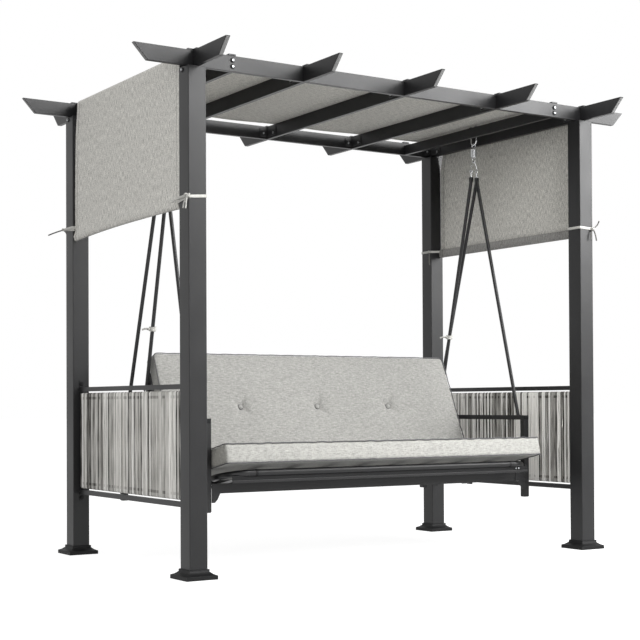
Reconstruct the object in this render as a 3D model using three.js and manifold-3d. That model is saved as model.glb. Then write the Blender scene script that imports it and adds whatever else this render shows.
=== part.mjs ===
// Canopy patio swing: a post-and-beam stand with a cloth canopy and woven side panels, and a
// swing sofa that hangs from it on two springs. Millimetres, X to the right, Y to the back, Z up.
// The origin is on the ground under the middle of the stand.
import * as THREE from "three";
import Module from "manifold-3d";
import { mergeVertices } from "three/addons/utils/BufferGeometryUtils.js";

const wasm = await Module();
wasm.setup();

// Clearances shared by all pieces
const seatGap = 0.3;
const weldLap = 0.6;
const cutOverrun = 2;
const mergeDistance = 0.001;

// Stand: posts on base plates, with foot covers
const postWidth = 80;
const postWall = 1.6;
const postInsetX = 5;
const postInsetY = 7;
const basePlateWidth = 120;
const basePlateThickness = 6;
const drainRadius = 20;
const topPlateThickness = 6;
const footWidth = 140;
const footLipHeight = 16;
const footHeight = 40;
const footCollarWall = 5;
const footShoulderHeight = 30;

// Stand: beams, rafters and tails
const beamBottom = 2026;
const beamHeight = 64;
const beamThickness = 20;
const beamWall = 1.5;
const beamSpanY = 1140;
const beamLength = 2102;
const postSpanX = beamLength - 2 * postInsetX;
const postSpanY = beamSpanY - 2 * postInsetY;
const rafterCount = 5;
const tailTopLength = 260;
const tailBottomLength = 200;
const tailPlug = 4;

// Swing rails and the U-bolts through them
const railInset = 183;
const railCentreX = beamLength / 2 - railInset;
const railWidth = 20;
const railHeight = 50;
const railWall = 2;
const boltRadius = 3.5;
const boltLegSpacing = 40;
const boltDrop = 37.5;
const boltHoleClearance = 0.5;
const nutWidth = 13;
const nutHeight = 5;
const boltEnd = 1;
const boltBendSteps = 6;

// Side panels between the posts
const panelRailTop = 770;
const panelRailWidth = 20;
const panelRailWall = 1.5;
const panelRailBottom = 277;
const panelLowerRailHeight = 21;
const panelBarRadius = 6;
const panelUprightWidth = 12;
const ropeMargin = 5;
const bracketWidth = 18;
const bracketThickness = 3;
const bracketReach = 30;

// Rope winding: each turn stands for a bundle of flat strands side by side
const ropeTurns = 24;
const ropeBundleWidth = 35;
const ropeThickness = 4;
const ropeSlack = 0.4;
const ropeArcSteps = 3;

// Canopy cloth
const clothThickness = 2.4;
const curtainGap = 22;
const curtainX = beamLength / 2 + curtainGap;
const canopyFrontGap = 65;
const canopyRearGap = 75;
const canopyFront = canopyFrontGap - beamSpanY / 2;
const canopyBack = beamSpanY / 2 - canopyRearGap;
const curtainDrop = 554;
const hemBottom = beamBottom - curtainDrop;
const hemHeight = 43;
const hemGap = 7;
const clothCorner = 20;
const clothSag = 4;
const sagStepCount = 6;
const foldSteps = 4;

// Tie cords through the hems and round the posts
const cordRadius = 2.5;
const tieRise = 28;
const tieHeight = hemBottom + tieRise;
const knotRadius = 9;
const knotInset = 14;
const tieTailLength = 75;
const tieTailSpread = 16;
const knotDetail = 0;

// Springs
const springWire = 4.4;
const springRadius = 13.4;
const springTurns = 8.25;
const springPitch = 5.1;
const springLoopRadius = 10.8;
const springPlay = 0.9;
const springNeck = 5;
const springLoopOpening = 100;
const springLoopSteps = 8;
const coilStepsPerTurn = 8;
const stretchRoom = 0.5;

// Links and hooks under the springs
const linkWire = 5;
const linkHeight = 54;
const linkHalfWidth = 30;
const linkTopHalfWidth = 8;
const hookWire = 4.5;
const hookRingRadius = 8;
const hookPlay = 1.2;
const hookShankRadius = 3;
const hookSides = 10;
const hangerSpacing = 36;

// V hangers and back stays
const legRadius = 10;
const legWall = 1.3;
const legSides = 10;
const legTopDrop = 213;
const legTop = beamBottom - legTopDrop;
const eyeHeight = 22;
const eyeThickness = 16;
const legSideGap = 0.6;
const stayFootShare = 0.8022;
const stayTabLength = 34;
const stayTabGap = 1;
const stayTieHeight = 38;
const stayTieWall = 3;
const stayTieShare = 0.2464;

// Arm frames
const armWidth = 28;
const armWall = 1.5;
const armInset = 10;
const armInnerX = railCentreX - armInset;
const armFrontY = -370;
const armRearY = 445;
const legFrontInset = 81;
const legRearInset = 88;
const legFrontY = armFrontY + legFrontInset;
const legRearY = armRearY - legRearInset;
const armTop = 630;
const armBarHeight = 21;
const uprightBottom = 242;
const rearUprightBottom = 248;
const sideRailHeight = 28;
const sideRailThickness = 8;
const hingePlateThickness = 6;
const hingePlateHalfWidth = 18;

// Base bars between the arm frames
const frontBarBottom = 318;
const frontBarHeight = 40;
const frontBarDepth = 28;
const frontBarEndGap = 40;
const frontBarHalfLength = armInnerX - frontBarEndGap;
const barWall = 1.5;
const gussetThickness = 4;
const gussetBottom = 280;
const gussetInset = 18;
const rearBarBottom = 300;
const rearBarHeight = 38;

// Seat frame, on a plane that falls to the back
const seatTilt = 12;
const seatTubeRadius = 14;
const seatTubeWall = 1.5;
const seatFrontY = -450;
const seatFrontZ = 404;
const seatSideGap = 30;
const seatHalfWidth = armInnerX - seatSideGap;
const seatBend = 118;
const tubeSides = 10;
const bendSteps = 4;
const seatRearGap = 23;
const hingeRadius = 6;
const hingeHoleClearance = 0.4;
const lugThickness = 6;
const lugRadius = 14;
const lugGap = 0.5;
const lugRunBack = 60;
const slatCount = 8;
const slatWidth = 44;
const slatThickness = 3;
const slatEndGap = 8;
const crossBarWidth = 36;
const crossBarThickness = 4;
const deckLipHeight = 24;
const deckLipThickness = 5;
const deckLipEndGap = 38;

// Backrest frame, on a plane that leans back from the hinge
const backLean = 23;
const hingeY = 40;
const tilt = THREE.MathUtils.degToRad(seatTilt);
const hingeZ = seatFrontZ - (hingeY - seatFrontY) * Math.tan(tilt);
const seatSideEnd = (hingeY - seatFrontY) / Math.cos(tilt) - seatRearGap;
const seatSlatEnd = seatSideEnd - slatEndGap;
const sideRailBottom = hingeZ + hingePlateHalfWidth;
const backTubeRadius = 12.5;
const backTubeWall = 1.3;
const backSideGap = 32;
const backHalfWidth = armInnerX - backSideGap;
const backLength = 637;
const backBend = 110;
const bossRadius = 15;
const bossHoleClearance = 0.8;
const bossDrainRadius = 4;
const backCrossAt = 48;
const backSlatInset = 1;
const backSlatStart = 40;

// Hinge pins
const pinShoulderRadius = 10;
const pinHeadRadius = 10;
const pinHeadThickness = 5;
const pinInnerReach = 2;

// Cushions: crowned, boxed, drawn in along the sides
const seatCushionRise = 122;
const seatCushionTop = seatFrontZ + seatCushionRise;
const seatCushionOverhang = 25;
const seatCushionFrontY = seatFrontY - seatCushionOverhang;
const seatCushionRearGap = 49;
const seatCushionDepth = hingeY - seatCushionFrontY - seatCushionRearGap;
const boxingHeight = 79;
const seatCrownTop = 14;
const backCushionOverhang = 4;
const backCushionHalfWidth = backHalfWidth + backCushionOverhang;
const backCushionStart = 101;
const backCushionEndGap = 3;
const backCushionEnd = backLength + backCushionEndGap;
const backCushionThickness = 66;
const backCrown = 7;
const cushionDrawIn = 5;
const cushionCornerPull = 10;
const tuftDepth = 16;
const cushionCells = { long: 20, deep: 6 };
const backCushionCells = { long: 24, deep: 8 };
const tuftShares = [0.25, 0.5, 0.75];

// Finishes
const charcoal = new THREE.MeshStandardMaterial({ color: 0x505152, roughness: 0.5, metalness: 0.5 });
const blackPlastic = new THREE.MeshStandardMaterial({ color: 0x161617, roughness: 0.45, metalness: 0 });
const chrome = new THREE.MeshStandardMaterial({ color: 0xd8dadd, roughness: 0.15, metalness: 1 });
const canopyCloth = new THREE.MeshStandardMaterial({ color: 0xa8a59c, roughness: 0.95, metalness: 0 });
const cushionCloth = new THREE.MeshStandardMaterial({ color: 0xbcbcb7, roughness: 0.95, metalness: 0 });
const ropeCloth = new THREE.MeshStandardMaterial({ color: 0xa9a59c, roughness: 0.9, metalness: 0 });
const tieCloth = new THREE.MeshStandardMaterial({ color: 0xd0cfcb, roughness: 0.9, metalness: 0 });

const swing = new THREE.Group();
const sides = [
  { name: "left", sign: -1 },
  { name: "right", sign: 1 },
];

// A geometry as a manifold solid, and back.
function solidOf(geometry) {
  const bare = new THREE.BufferGeometry();
  const source = geometry.index ? geometry.toNonIndexed() : geometry;
  bare.setAttribute("position", source.getAttribute("position"));
  const merged = mergeVertices(bare, mergeDistance);
  const mesh = new wasm.Mesh({
    numProp: 3,
    vertProperties: merged.attributes.position.array,
    triVerts: new Uint32Array(merged.index.array),
  });
  return new wasm.Manifold(mesh);
}

function geometryOf(solid) {
  const mesh = solid.getMesh();
  const geometry = new THREE.BufferGeometry();
  geometry.setAttribute("position", new THREE.BufferAttribute(mesh.vertProperties, 3));
  geometry.setIndex(new THREE.BufferAttribute(mesh.triVerts, 1));
  return geometry;
}

function join(...geometries) {
  return geometryOf(geometries.map(solidOf).reduce((whole, piece) => whole.add(piece)));
}

function cut(geometry, ...tools) {
  const start = solidOf(geometry);
  return geometryOf(tools.map(solidOf).reduce((whole, tool) => whole.subtract(tool), start));
}

function put(name, geometry, material) {
  const mesh = new THREE.Mesh(geometry, material);
  mesh.name = name;
  swing.add(mesh);
  return mesh;
}

// The same geometry on the other side of the middle plane, with its faces turned back out.
function mirrored(geometry, sign) {
  if (sign > 0) return geometry;
  const copy = (geometry.index ? geometry.toNonIndexed() : geometry).clone();
  copy.applyMatrix4(new THREE.Matrix4().makeScale(-1, 1, 1));
  const position = copy.getAttribute("position");
  for (let i = 0; i < position.count; i += 3) {
    const first = new THREE.Vector3().fromBufferAttribute(position, i + 1);
    const second = new THREE.Vector3().fromBufferAttribute(position, i + 2);
    position.setXYZ(i + 1, second.x, second.y, second.z);
    position.setXYZ(i + 2, first.x, first.y, first.z);
  }
  return copy;
}

function block([x0, x1], [y0, y1], [z0, z1]) {
  const geometry = new THREE.BoxGeometry(x1 - x0, y1 - y0, z1 - z0);
  return geometry.translate((x0 + x1) / 2, (y0 + y1) / 2, (z0 + z1) / 2);
}

// Turns a geometry built along its own Z so that it runs along the given axis.
const axisBases = {
  x: [new THREE.Vector3(0, 1, 0), new THREE.Vector3(0, 0, 1), new THREE.Vector3(1, 0, 0)],
  y: [new THREE.Vector3(0, 0, 1), new THREE.Vector3(1, 0, 0), new THREE.Vector3(0, 1, 0)],
  z: [new THREE.Vector3(1, 0, 0), new THREE.Vector3(0, 1, 0), new THREE.Vector3(0, 0, 1)],
};

function alongAxis(axis, geometry) {
  return geometry.applyMatrix4(new THREE.Matrix4().makeBasis(...axisBases[axis]));
}

function extrude(shape, depth) {
  return new THREE.ExtrudeGeometry(shape, { depth, bevelEnabled: false, curveSegments: 6 });
}

function outline(points, ShapeClass = THREE.Shape) {
  return new ShapeClass(points.map(([u, v]) => new THREE.Vector2(u, v)));
}

function rectangle([u0, u1], [v0, v1], ShapeClass) {
  return outline([[u0, v0], [u1, v0], [u1, v1], [u0, v1]], ShapeClass);
}

// A rectangular tube with open ends, along X, Y or Z, in the given box.
function boxTube(axis, xs, ys, zs, wall) {
  const spans = { x: [ys, zs, xs], y: [zs, xs, ys], z: [xs, ys, zs] }[axis];
  const [us, vs, run] = spans;
  const shape = rectangle(us, vs);
  shape.holes.push(rectangle([us[0] + wall, us[1] - wall], [vs[0] + wall, vs[1] - wall], THREE.Path));
  return alongAxis(axis, extrude(shape, run[1] - run[0]).translate(0, 0, run[0]));
}

function circlePoints(radius, count, centre = [0, 0]) {
  return Array.from({ length: count }, (unused, i) => {
    const turn = ((i + 0.5) / count) * 2 * Math.PI;
    return [centre[0] + radius * Math.cos(turn), centre[1] + radius * Math.sin(turn)];
  });
}

function ringShape(radius, wall, count) {
  const shape = outline(circlePoints(radius, count));
  if (wall > 0) shape.holes.push(outline(circlePoints(radius - wall, count), THREE.Path));
  return shape;
}

// A route that runs straight from stop to stop, with one extrusion step between two stops.
class Route extends THREE.Curve {
  constructor(stops) {
    super();
    this.stops = stops;
  }
  getPoint(t) {
    const place = Math.min(Math.max(t, 0), 1) * (this.stops.length - 1);
    const from = Math.min(Math.floor(place), this.stops.length - 2);
    return this.stops[from].clone().lerp(this.stops[from + 1], place - from);
  }
  getUtoTmapping(u) {
    return u;
  }
}

function tubeAlong(stops, radius, wall, count) {
  const options = { steps: stops.length - 1, extrudePath: new Route(stops) };
  return new THREE.ExtrudeGeometry(ringShape(radius, wall, count), options);
}

const at = (x, y, z) => new THREE.Vector3(x, y, z);

// A closed skin over a row of rings that all have the same number of points, capped at both ends.
function skin(rings) {
  const count = rings[0].length;
  const positions = rings.flat().flatMap((point) => [point.x, point.y, point.z]);
  const faces = [];
  for (let r = 0; r + 1 < rings.length; r += 1) {
    for (let i = 0; i < count; i += 1) {
      const a = r * count + i;
      const b = r * count + ((i + 1) % count);
      faces.push(a, b, b + count, a, b + count, a + count);
    }
  }
  const last = (rings.length - 1) * count;
  for (let i = 1; i + 1 < count; i += 1) {
    faces.push(0, i + 1, i, last, last + i, last + i + 1);
  }
  const geometry = new THREE.BufferGeometry();
  geometry.setAttribute("position", new THREE.Float32BufferAttribute(positions, 3));
  geometry.setIndex(faces);
  return geometry;
}

// Posts and foot covers
const postTop = beamBottom - seatGap;
const halfPost = postWidth / 2;

function makePost() {
  const half = [-halfPost, halfPost];
  const plate = [-basePlateWidth / 2, basePlateWidth / 2];
  const tubeRun = [basePlateThickness - weldLap, postTop - topPlateThickness + weldLap];
  const tube = boxTube("z", half, half, tubeRun, postWall);
  const base = rectangle(plate, plate);
  base.holes.push(outline(circlePoints(drainRadius, tubeSides), THREE.Path));
  const top = block(half, half, [postTop - topPlateThickness, postTop]);
  return join(tube, extrude(base, basePlateThickness), top);
}

// A square ring is a turned profile with four sides; radii are given as half widths.
function makeFoot() {
  const lip = footWidth / 2;
  const inner = halfPost + seatGap;
  const pocket = basePlateWidth / 2 + seatGap;
  const collar = inner + footCollarWall;
  const slopeOut = (lip + collar) / 2;
  const slopeHeight = footLipHeight + (footShoulderHeight - footLipHeight) / 3;
  const profile = [
    [pocket, 0],
    [lip, 0],
    [lip, footLipHeight],
    [slopeOut, slopeHeight],
    [collar, footShoulderHeight],
    [collar, footHeight],
    [inner, footHeight],
    [inner, basePlateThickness + seatGap],
    [pocket, basePlateThickness + seatGap],
    [pocket, 0],
  ];
  const points = profile.map(([half, z]) => new THREE.Vector2(half * Math.SQRT2, z));
  const lathe = new THREE.LatheGeometry(points, 4);
  return lathe.rotateX(Math.PI / 2).rotateZ(Math.PI / 4);
}

for (const [rowName, rowSign] of [["front", -1], ["rear", 1]]) {
  for (const side of sides) {
    const place = [(side.sign * postSpanX) / 2, (rowSign * postSpanY) / 2, 0];
    put(`post_${rowName}_${side.name}`, makePost(), charcoal).position.set(...place);
    put(`foot_cover_${rowName}_${side.name}`, makeFoot(), blackPlastic).position.set(...place);
  }
}

// Beams, rafters and tails
const beamTop = beamBottom + beamHeight;
const beamFace = (beamSpanY + beamThickness) / 2;
const beamInner = (beamSpanY - beamThickness) / 2;
const rafterPitch = (beamLength - beamThickness) / (rafterCount - 1);
const rafterNames = ["left_end", "left", "middle", "right", "right_end"];
const beamZs = [beamBottom, beamTop];

for (const [rowName, rowSign] of [["front", -1], ["rear", 1]]) {
  const centre = (rowSign * beamSpanY) / 2;
  const ys = [centre - beamThickness / 2, centre + beamThickness / 2];
  const xs = [-beamLength / 2, beamLength / 2];
  put(`beam_${rowName}`, boxTube("x", xs, ys, beamZs, beamWall), charcoal);
}

// A tail points along X from its root, cut at a slant and closed by a plug.
function makeTail() {
  const half = beamThickness / 2;
  const inset = beamWall;
  const slant = (tailTopLength - tailBottomLength) / beamHeight;
  const outer = outline([
    [0, 0],
    [tailBottomLength, 0],
    [tailTopLength, beamHeight],
    [0, beamHeight],
  ]);
  const inner = outline([
    [-cutOverrun, inset],
    [tailBottomLength + slant * inset - tailPlug, inset],
    [tailTopLength - slant * inset - tailPlug, beamHeight - inset],
    [-cutOverrun, beamHeight - inset],
  ]);
  const body = extrude(outer, beamThickness).translate(0, 0, -half);
  const bore = extrude(inner, beamThickness - 2 * inset).translate(0, 0, inset - half);
  return cut(body, bore).rotateX(Math.PI / 2);
}

for (let i = 0; i < rafterCount; i += 1) {
  const x = -beamLength / 2 + beamThickness / 2 + i * rafterPitch;
  const xs = [x - beamThickness / 2, x + beamThickness / 2];
  const ys = [-beamInner + seatGap, beamInner - seatGap];
  put(`rafter_${rafterNames[i]}`, boxTube("y", xs, ys, beamZs, beamWall), charcoal);
  for (const [rowName, rowSign] of [["front", -1], ["rear", 1]]) {
    const tail = put(`tail_${rowName}_${rafterNames[i]}`, makeTail(), charcoal);
    tail.position.set(x, rowSign * (beamFace + seatGap), beamBottom);
    tail.rotation.z = (rowSign * Math.PI) / 2;
  }
}
for (const [rowName, rowSign] of [["front", -1], ["rear", 1]]) {
  for (const side of sides) {
    const tail = put(`tail_${side.name}_${rowName}`, makeTail(), charcoal);
    const root = beamLength / 2 + seatGap;
    tail.position.set(side.sign * root, (rowSign * beamSpanY) / 2, beamBottom);
    tail.rotation.z = side.sign > 0 ? 0 : Math.PI;
  }
}

// Swing rails with U-bolts through them, front to back legs
const railTop = beamBottom + railHeight;
const pivotZ = beamBottom - boltDrop;
const legOffset = boltLegSpacing / 2;

for (const side of sides) {
  const half = railWidth / 2;
  const x = railCentreX;
  const ys = [-beamInner + seatGap, beamInner - seatGap];
  const rail = boxTube("y", [x - half, x + half], ys, [beamBottom, railTop], railWall);
  const drills = [-legOffset, legOffset].map((y) => {
    const drill = ringShape(boltRadius + boltHoleClearance, 0, tubeSides);
    return extrude(drill, railHeight + 2 * cutOverrun).translate(x, y, beamBottom - cutOverrun);
  });
  put(`swing_rail_${side.name}`, mirrored(cut(rail, ...drills), side.sign), charcoal);

  const boltTop = railTop + seatGap + nutHeight + boltEnd;
  const bend = [];
  for (let i = 0; i <= boltBendSteps; i += 1) {
    const turn = Math.PI + (i / boltBendSteps) * Math.PI;
    bend.push(at(x, legOffset * Math.cos(turn), pivotZ + legOffset * (1 + Math.sin(turn))));
  }
  const stops = [at(x, -legOffset, boltTop), ...bend, at(x, legOffset, boltTop)];
  const nuts = [-legOffset, legOffset].map((y) => {
    const hexagon = outline(circlePoints(nutWidth / 2, 6));
    return extrude(hexagon, nutHeight).translate(x, y, railTop + seatGap);
  });
  const bolt = join(tubeAlong(stops, boltRadius, 0, 6), ...nuts);
  put(`u_bolt_${side.name}`, mirrored(bolt, side.sign), chrome);
}

// Side panel frames and rope windings
const panelX = postSpanX / 2;
const panelEnd = postSpanY / 2 - halfPost - seatGap;
const lowerRailTop = panelRailBottom + panelLowerRailHeight;
const topRailBottom = panelRailTop - panelRailWidth;
const upperBarZ = topRailBottom - ropeMargin - ropeThickness - ropeSlack - panelBarRadius;
const lowerBarZ = lowerRailTop + ropeMargin + ropeThickness + ropeSlack + panelBarRadius;

function makePanelFrame() {
  const half = panelRailWidth / 2;
  const xs = [panelX - half, panelX + half];
  const ys = [-panelEnd, panelEnd];
  const rails = [
    boxTube("y", xs, ys, [topRailBottom, panelRailTop], panelRailWall),
    boxTube("y", xs, ys, [panelRailBottom, lowerRailTop], panelRailWall),
  ];
  const halfUpright = panelUprightWidth / 2;
  const uprightXs = [panelX - halfUpright, panelX + halfUpright];
  const uprightZs = [lowerRailTop - weldLap, topRailBottom + weldLap];
  const uprights = [-1, 1].map((end) => {
    const y = end * (panelEnd - halfUpright);
    return block(uprightXs, [y - halfUpright, y + halfUpright], uprightZs);
  });
  const barEnd = panelEnd - panelUprightWidth + weldLap;
  const bars = [upperBarZ, lowerBarZ].map((z) =>
    tubeAlong([at(panelX, -barEnd, z), at(panelX, barEnd, z)], panelBarRadius, 0, 8),
  );
  const halfBracket = bracketWidth / 2;
  const bracketXs = [panelX - halfBracket, panelX + halfBracket];
  const brackets = [-1, 1].flatMap((end) => {
    const edge = [end * panelEnd, end * (panelEnd - bracketThickness)].sort((a, b) => a - b);
    return [
      block(bracketXs, edge, [panelRailTop - panelRailWall, panelRailTop + bracketReach]),
      block(bracketXs, edge, [panelRailBottom - bracketReach, panelRailBottom + panelRailWall]),
    ];
  });
  return join(...rails, ...uprights, ...bars, ...brackets);
}

// One strand bundle wound round the two thin bars as one unbroken band. It runs straight up on
// one face and climbs to the next turn on the other.
function makeRopeWinding() {
  const inner = (panelBarRadius + ropeSlack) / Math.cos(Math.PI / (2 * ropeArcSteps));
  const run = 2 * (panelEnd - panelUprightWidth - seatGap);
  const pitch = (run - ropeBundleWidth) / ropeTurns;
  const middle = inner + ropeThickness / 2;
  const arc = Array.from({ length: ropeArcSteps + 1 }, (unused, i) => (i / ropeArcSteps) * Math.PI);
  const loop = [
    ...arc.map((turn) => ({ z: upperBarZ, turn, climb: 0 })),
    ...arc.map((turn) => ({ z: lowerBarZ, turn: turn + Math.PI, climb: 1 })),
  ];
  const rings = [];
  const middles = [];
  for (let i = 0; i < ropeTurns; i += 1) {
    for (const stop of loop) {
      const y = -run / 2 + ropeBundleWidth / 2 + (i + stop.climb) * pitch;
      const out = at(Math.cos(stop.turn), 0, Math.sin(stop.turn));
      const corners = [[-1, -1], [-1, 1], [1, 1], [1, -1]];
      rings.push(
        corners.map(([across, outward]) => {
          const reach = middle + (outward * ropeThickness) / 2;
          const point = at(panelX, y + (across * ropeBundleWidth) / 2, stop.z);
          return point.addScaledVector(out, reach);
        }),
      );
      middles.push(at(panelX, y, stop.z).addScaledVector(out, middle));
    }
  }
  const stopsPerTurn = loop.length;
  let least = Infinity;
  for (let i = 0; i + stopsPerTurn < middles.length; i += 1) {
    const apart = middles[i].distanceTo(middles[i + stopsPerTurn]) - ropeBundleWidth;
    least = Math.min(least, apart);
  }
  console.log(`rope winding: least gap between two turns ${least.toFixed(2)} mm`);
  return skin(rings);
}

const panelFrame = makePanelFrame();
const ropeWinding = makeRopeWinding();
for (const side of sides) {
  const shift = side.sign > 0 ? 0 : -2 * panelX;
  put(`side_panel_frame_${side.name}`, panelFrame, charcoal).position.x = shift;
  put(`rope_winding_${side.name}`, ropeWinding, ropeCloth).position.x = shift;
}

// Canopy cloth: one strip that folds up at both hems, hangs as a curtain on both sides and lies
// over the rafters, where it sags a little from one to the next.
function canopyMiddleLine() {
  const half = clothThickness / 2;
  const topZ = beamTop + seatGap + half;
  const innerX = curtainX - hemGap - clothThickness;
  const turnRadius = (curtainX - innerX) / 2;
  const line = [[innerX, hemBottom + hemHeight]];
  for (let i = 0; i <= foldSteps; i += 1) {
    const turn = Math.PI + (i / foldSteps) * Math.PI;
    const x = innerX + turnRadius + turnRadius * Math.cos(turn);
    line.push([x, hemBottom + half + turnRadius + turnRadius * Math.sin(turn)]);
  }
  for (let i = 0; i <= foldSteps; i += 1) {
    const turn = ((i / foldSteps) * Math.PI) / 2;
    const x = curtainX - clothCorner + clothCorner * Math.cos(turn);
    line.push([x, topZ - clothCorner + clothCorner * Math.sin(turn)]);
  }
  const spans = rafterCount - 1;
  for (let span = spans - 1; span >= spans / 2; span -= 1) {
    const from = -beamLength / 2 + beamThickness + span * rafterPitch;
    const to = from + rafterPitch - beamThickness;
    for (let step = sagStepCount; step >= 0; step -= 1) {
      const share = step / sagStepCount;
      const sag = clothSag * Math.sin(share * Math.PI) ** 2;
      line.push([from + share * (to - from), topZ - sag]);
    }
  }
  const otherHalf = line.map(([x, z]) => [-x, z]).reverse();
  return [...line, ...otherHalf];
}

function offsetLine(line, distance) {
  return line.map(([x, z], i) => {
    const before = line[Math.max(i - 1, 0)];
    const after = line[Math.min(i + 1, line.length - 1)];
    const along = new THREE.Vector2(after[0] - before[0], after[1] - before[1]).normalize();
    return [x - along.y * distance, z + along.x * distance];
  });
}

function makeCanopy() {
  const line = canopyMiddleLine();
  const half = clothThickness / 2;
  const edge = [...offsetLine(line, half), ...offsetLine(line, -half).reverse()];
  const shape = outline(edge.map(([x, z]) => [z, x]));
  return alongAxis("y", extrude(shape, canopyBack - canopyFront).translate(0, 0, canopyFront));
}

put("canopy_cloth", makeCanopy(), canopyCloth);

// Tie cords: a cord in the hem, a band round each post, a knot and two hanging tails
function makeTieCord() {
  const hemX = curtainX - (hemGap + clothThickness) / 2;
  const hemZ = hemBottom + clothThickness + cordRadius + seatGap;
  const parts = [];
  const cord = (...stops) => tubeAlong(stops, cordRadius, 0, 6);
  const nearY = postSpanY / 2 - halfPost - seatGap - cordRadius;
  const stops = [
    at(hemX, -nearY, tieHeight),
    at(hemX, canopyFront - cordRadius, hemZ),
    at(hemX, canopyBack + cordRadius, hemZ),
    at(hemX, nearY, tieHeight),
  ];
  parts.push(cord(...stops));
  const bandInner = halfPost + seatGap;
  const bandOuter = bandInner + 2 * cordRadius;
  const zs = [tieHeight - cordRadius, tieHeight + cordRadius];
  for (const row of [-1, 1]) {
    const y = (row * postSpanY) / 2;
    const xs = [panelX - bandOuter, panelX + bandOuter];
    parts.push(boxTube("z", xs, [y - bandOuter, y + bandOuter], zs, 2 * cordRadius));
    const knotX = panelX + bandInner + knotRadius;
    const knotY = y - bandOuter + knotInset;
    const knot = new THREE.IcosahedronGeometry(knotRadius, knotDetail);
    parts.push(knot.translate(knotX, knotY, tieHeight));
    for (const turn of [-1, 1]) {
      const end = at(knotX + cordRadius, knotY + turn * tieTailSpread, tieHeight - tieTailLength);
      parts.push(cord(at(knotX, knotY, tieHeight), end));
    }
  }
  return join(...parts);
}

const tieCord = makeTieCord();
for (const side of sides) {
  put(`tie_cord_${side.name}`, mirrored(tieCord, side.sign), tieCloth);
}

// Springs: an upper loop across the swing, the coil, and a lower loop turned a quarter
const wireHalf = springWire / 2;
const upperLoopZ = pivotZ + boltRadius + springPlay + wireHalf - springLoopRadius;
const coilTop = upperLoopZ - springLoopRadius - springNeck;
const coilBottom = coilTop - springTurns * springPitch;
const loopOpening = THREE.MathUtils.degToRad(springLoopOpening);
const lowerLoopZ = coilBottom - springNeck - springLoopRadius;

// Each loop is open toward the coil, and the coil ends where the lower loop begins.
function loopTurn(opening, step) {
  return opening - loopOpening / 2 - (step / springLoopSteps) * (2 * Math.PI - loopOpening);
}

function makeSpringPath() {
  const path = [];
  for (let i = 0; i <= springLoopSteps; i += 1) {
    const turn = loopTurn(-Math.PI / 2, i);
    path.push(at(springLoopRadius * Math.cos(turn), 0, upperLoopZ + springLoopRadius * Math.sin(turn)));
  }
  for (let i = 0; i <= springTurns * coilStepsPerTurn; i += 1) {
    const turn = (i / coilStepsPerTurn) * 2 * Math.PI;
    const z = coilTop - (i / coilStepsPerTurn) * springPitch;
    path.push(at(springRadius * Math.cos(turn), springRadius * Math.sin(turn), z));
  }
  for (let i = 0; i <= springLoopSteps; i += 1) {
    const turn = loopTurn(Math.PI / 2, i);
    path.push(at(0, springLoopRadius * Math.cos(turn), lowerLoopZ + springLoopRadius * Math.sin(turn)));
  }
  return path;
}

function leastSelfGap(path, thickness, skip) {
  let least = Infinity;
  for (let i = 0; i + 1 < path.length; i += 1) {
    for (let j = i + skip; j + 1 < path.length; j += 1) {
      for (const share of [0, 0.5]) {
        const point = path[i].clone().lerp(path[i + 1], share);
        const other = new THREE.Line3(path[j], path[j + 1]).closestPointToPoint(point, true, at(0, 0, 0));
        least = Math.min(least, point.distanceTo(other) - thickness);
      }
    }
  }
  return least;
}

const springPath = makeSpringPath();
const springGap = leastSelfGap(springPath, springWire, 4);
console.log(`spring: least gap to itself ${springGap.toFixed(2)} mm`);
for (const side of sides) {
  const spring = put(`spring_${side.name}`, tubeAlong(springPath, wireHalf, 0, 5), chrome);
  spring.position.x = side.sign * railCentreX;
}

// Triangular links: apex in the lower loop of the spring, base under the two hooks
const linkTop = lowerLoopZ - springLoopRadius + wireHalf + stretchRoom + linkWire;
const linkBarZ = linkTop - linkHeight + linkWire / 2;

function makeLink() {
  const base = linkTop - linkHeight;
  const outer = outline([
    [-linkHalfWidth, base],
    [linkHalfWidth, base],
    [linkHalfWidth, base + linkWire / 2],
    [linkTopHalfWidth, linkTop],
    [-linkTopHalfWidth, linkTop],
    [-linkHalfWidth, base + linkWire / 2],
  ]);
  const hole = [
    [-linkHalfWidth + linkWire, base + linkWire],
    [linkHalfWidth - linkWire, base + linkWire],
    [linkTopHalfWidth - linkWire / 2, linkTop - linkWire],
    [-linkTopHalfWidth + linkWire / 2, linkTop - linkWire],
  ];
  outer.holes.push(outline(hole, THREE.Path));
  return extrude(outer, linkWire).translate(0, 0, -linkWire / 2).rotateX(Math.PI / 2);
}

for (const side of sides) {
  put(`link_${side.name}`, makeLink(), chrome).position.x = side.sign * railCentreX;
}

// A hook: a ring round the base of the link and a shank down to an eye block
function hookParts(x) {
  const ringZ = linkBarZ + linkWire / 2 + hookPlay + hookWire / 2 - hookRingRadius;
  const inner = hookRingRadius - hookWire / 2;
  const shape = outline(circlePoints(inner + hookWire, hookSides));
  shape.holes.push(outline(circlePoints(inner, hookSides), THREE.Path));
  const ring = extrude(shape, hookWire).translate(0, 0, -hookWire / 2);
  const shankTop = ringZ - hookRingRadius;
  const halfEye = eyeThickness / 2;
  const eyeZs = [legTop - eyeHeight / 2, legTop + eyeHeight / 2];
  return [
    alongAxis("x", ring).translate(x, 0, ringZ),
    tubeAlong([at(x, 0, shankTop), at(x, 0, legTop)], hookShankRadius, 0, 8),
    block([x - halfEye, x + halfEye], [-halfEye, halfEye], eyeZs),
  ];
}

// V hangers: two round tubes from the eye down the outer face of the arm bar
const hangerX = railCentreX + hangerSpacing / 2;
const stayX = railCentreX - hangerSpacing / 2;
const armOuterX = armInnerX + armWidth;

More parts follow.
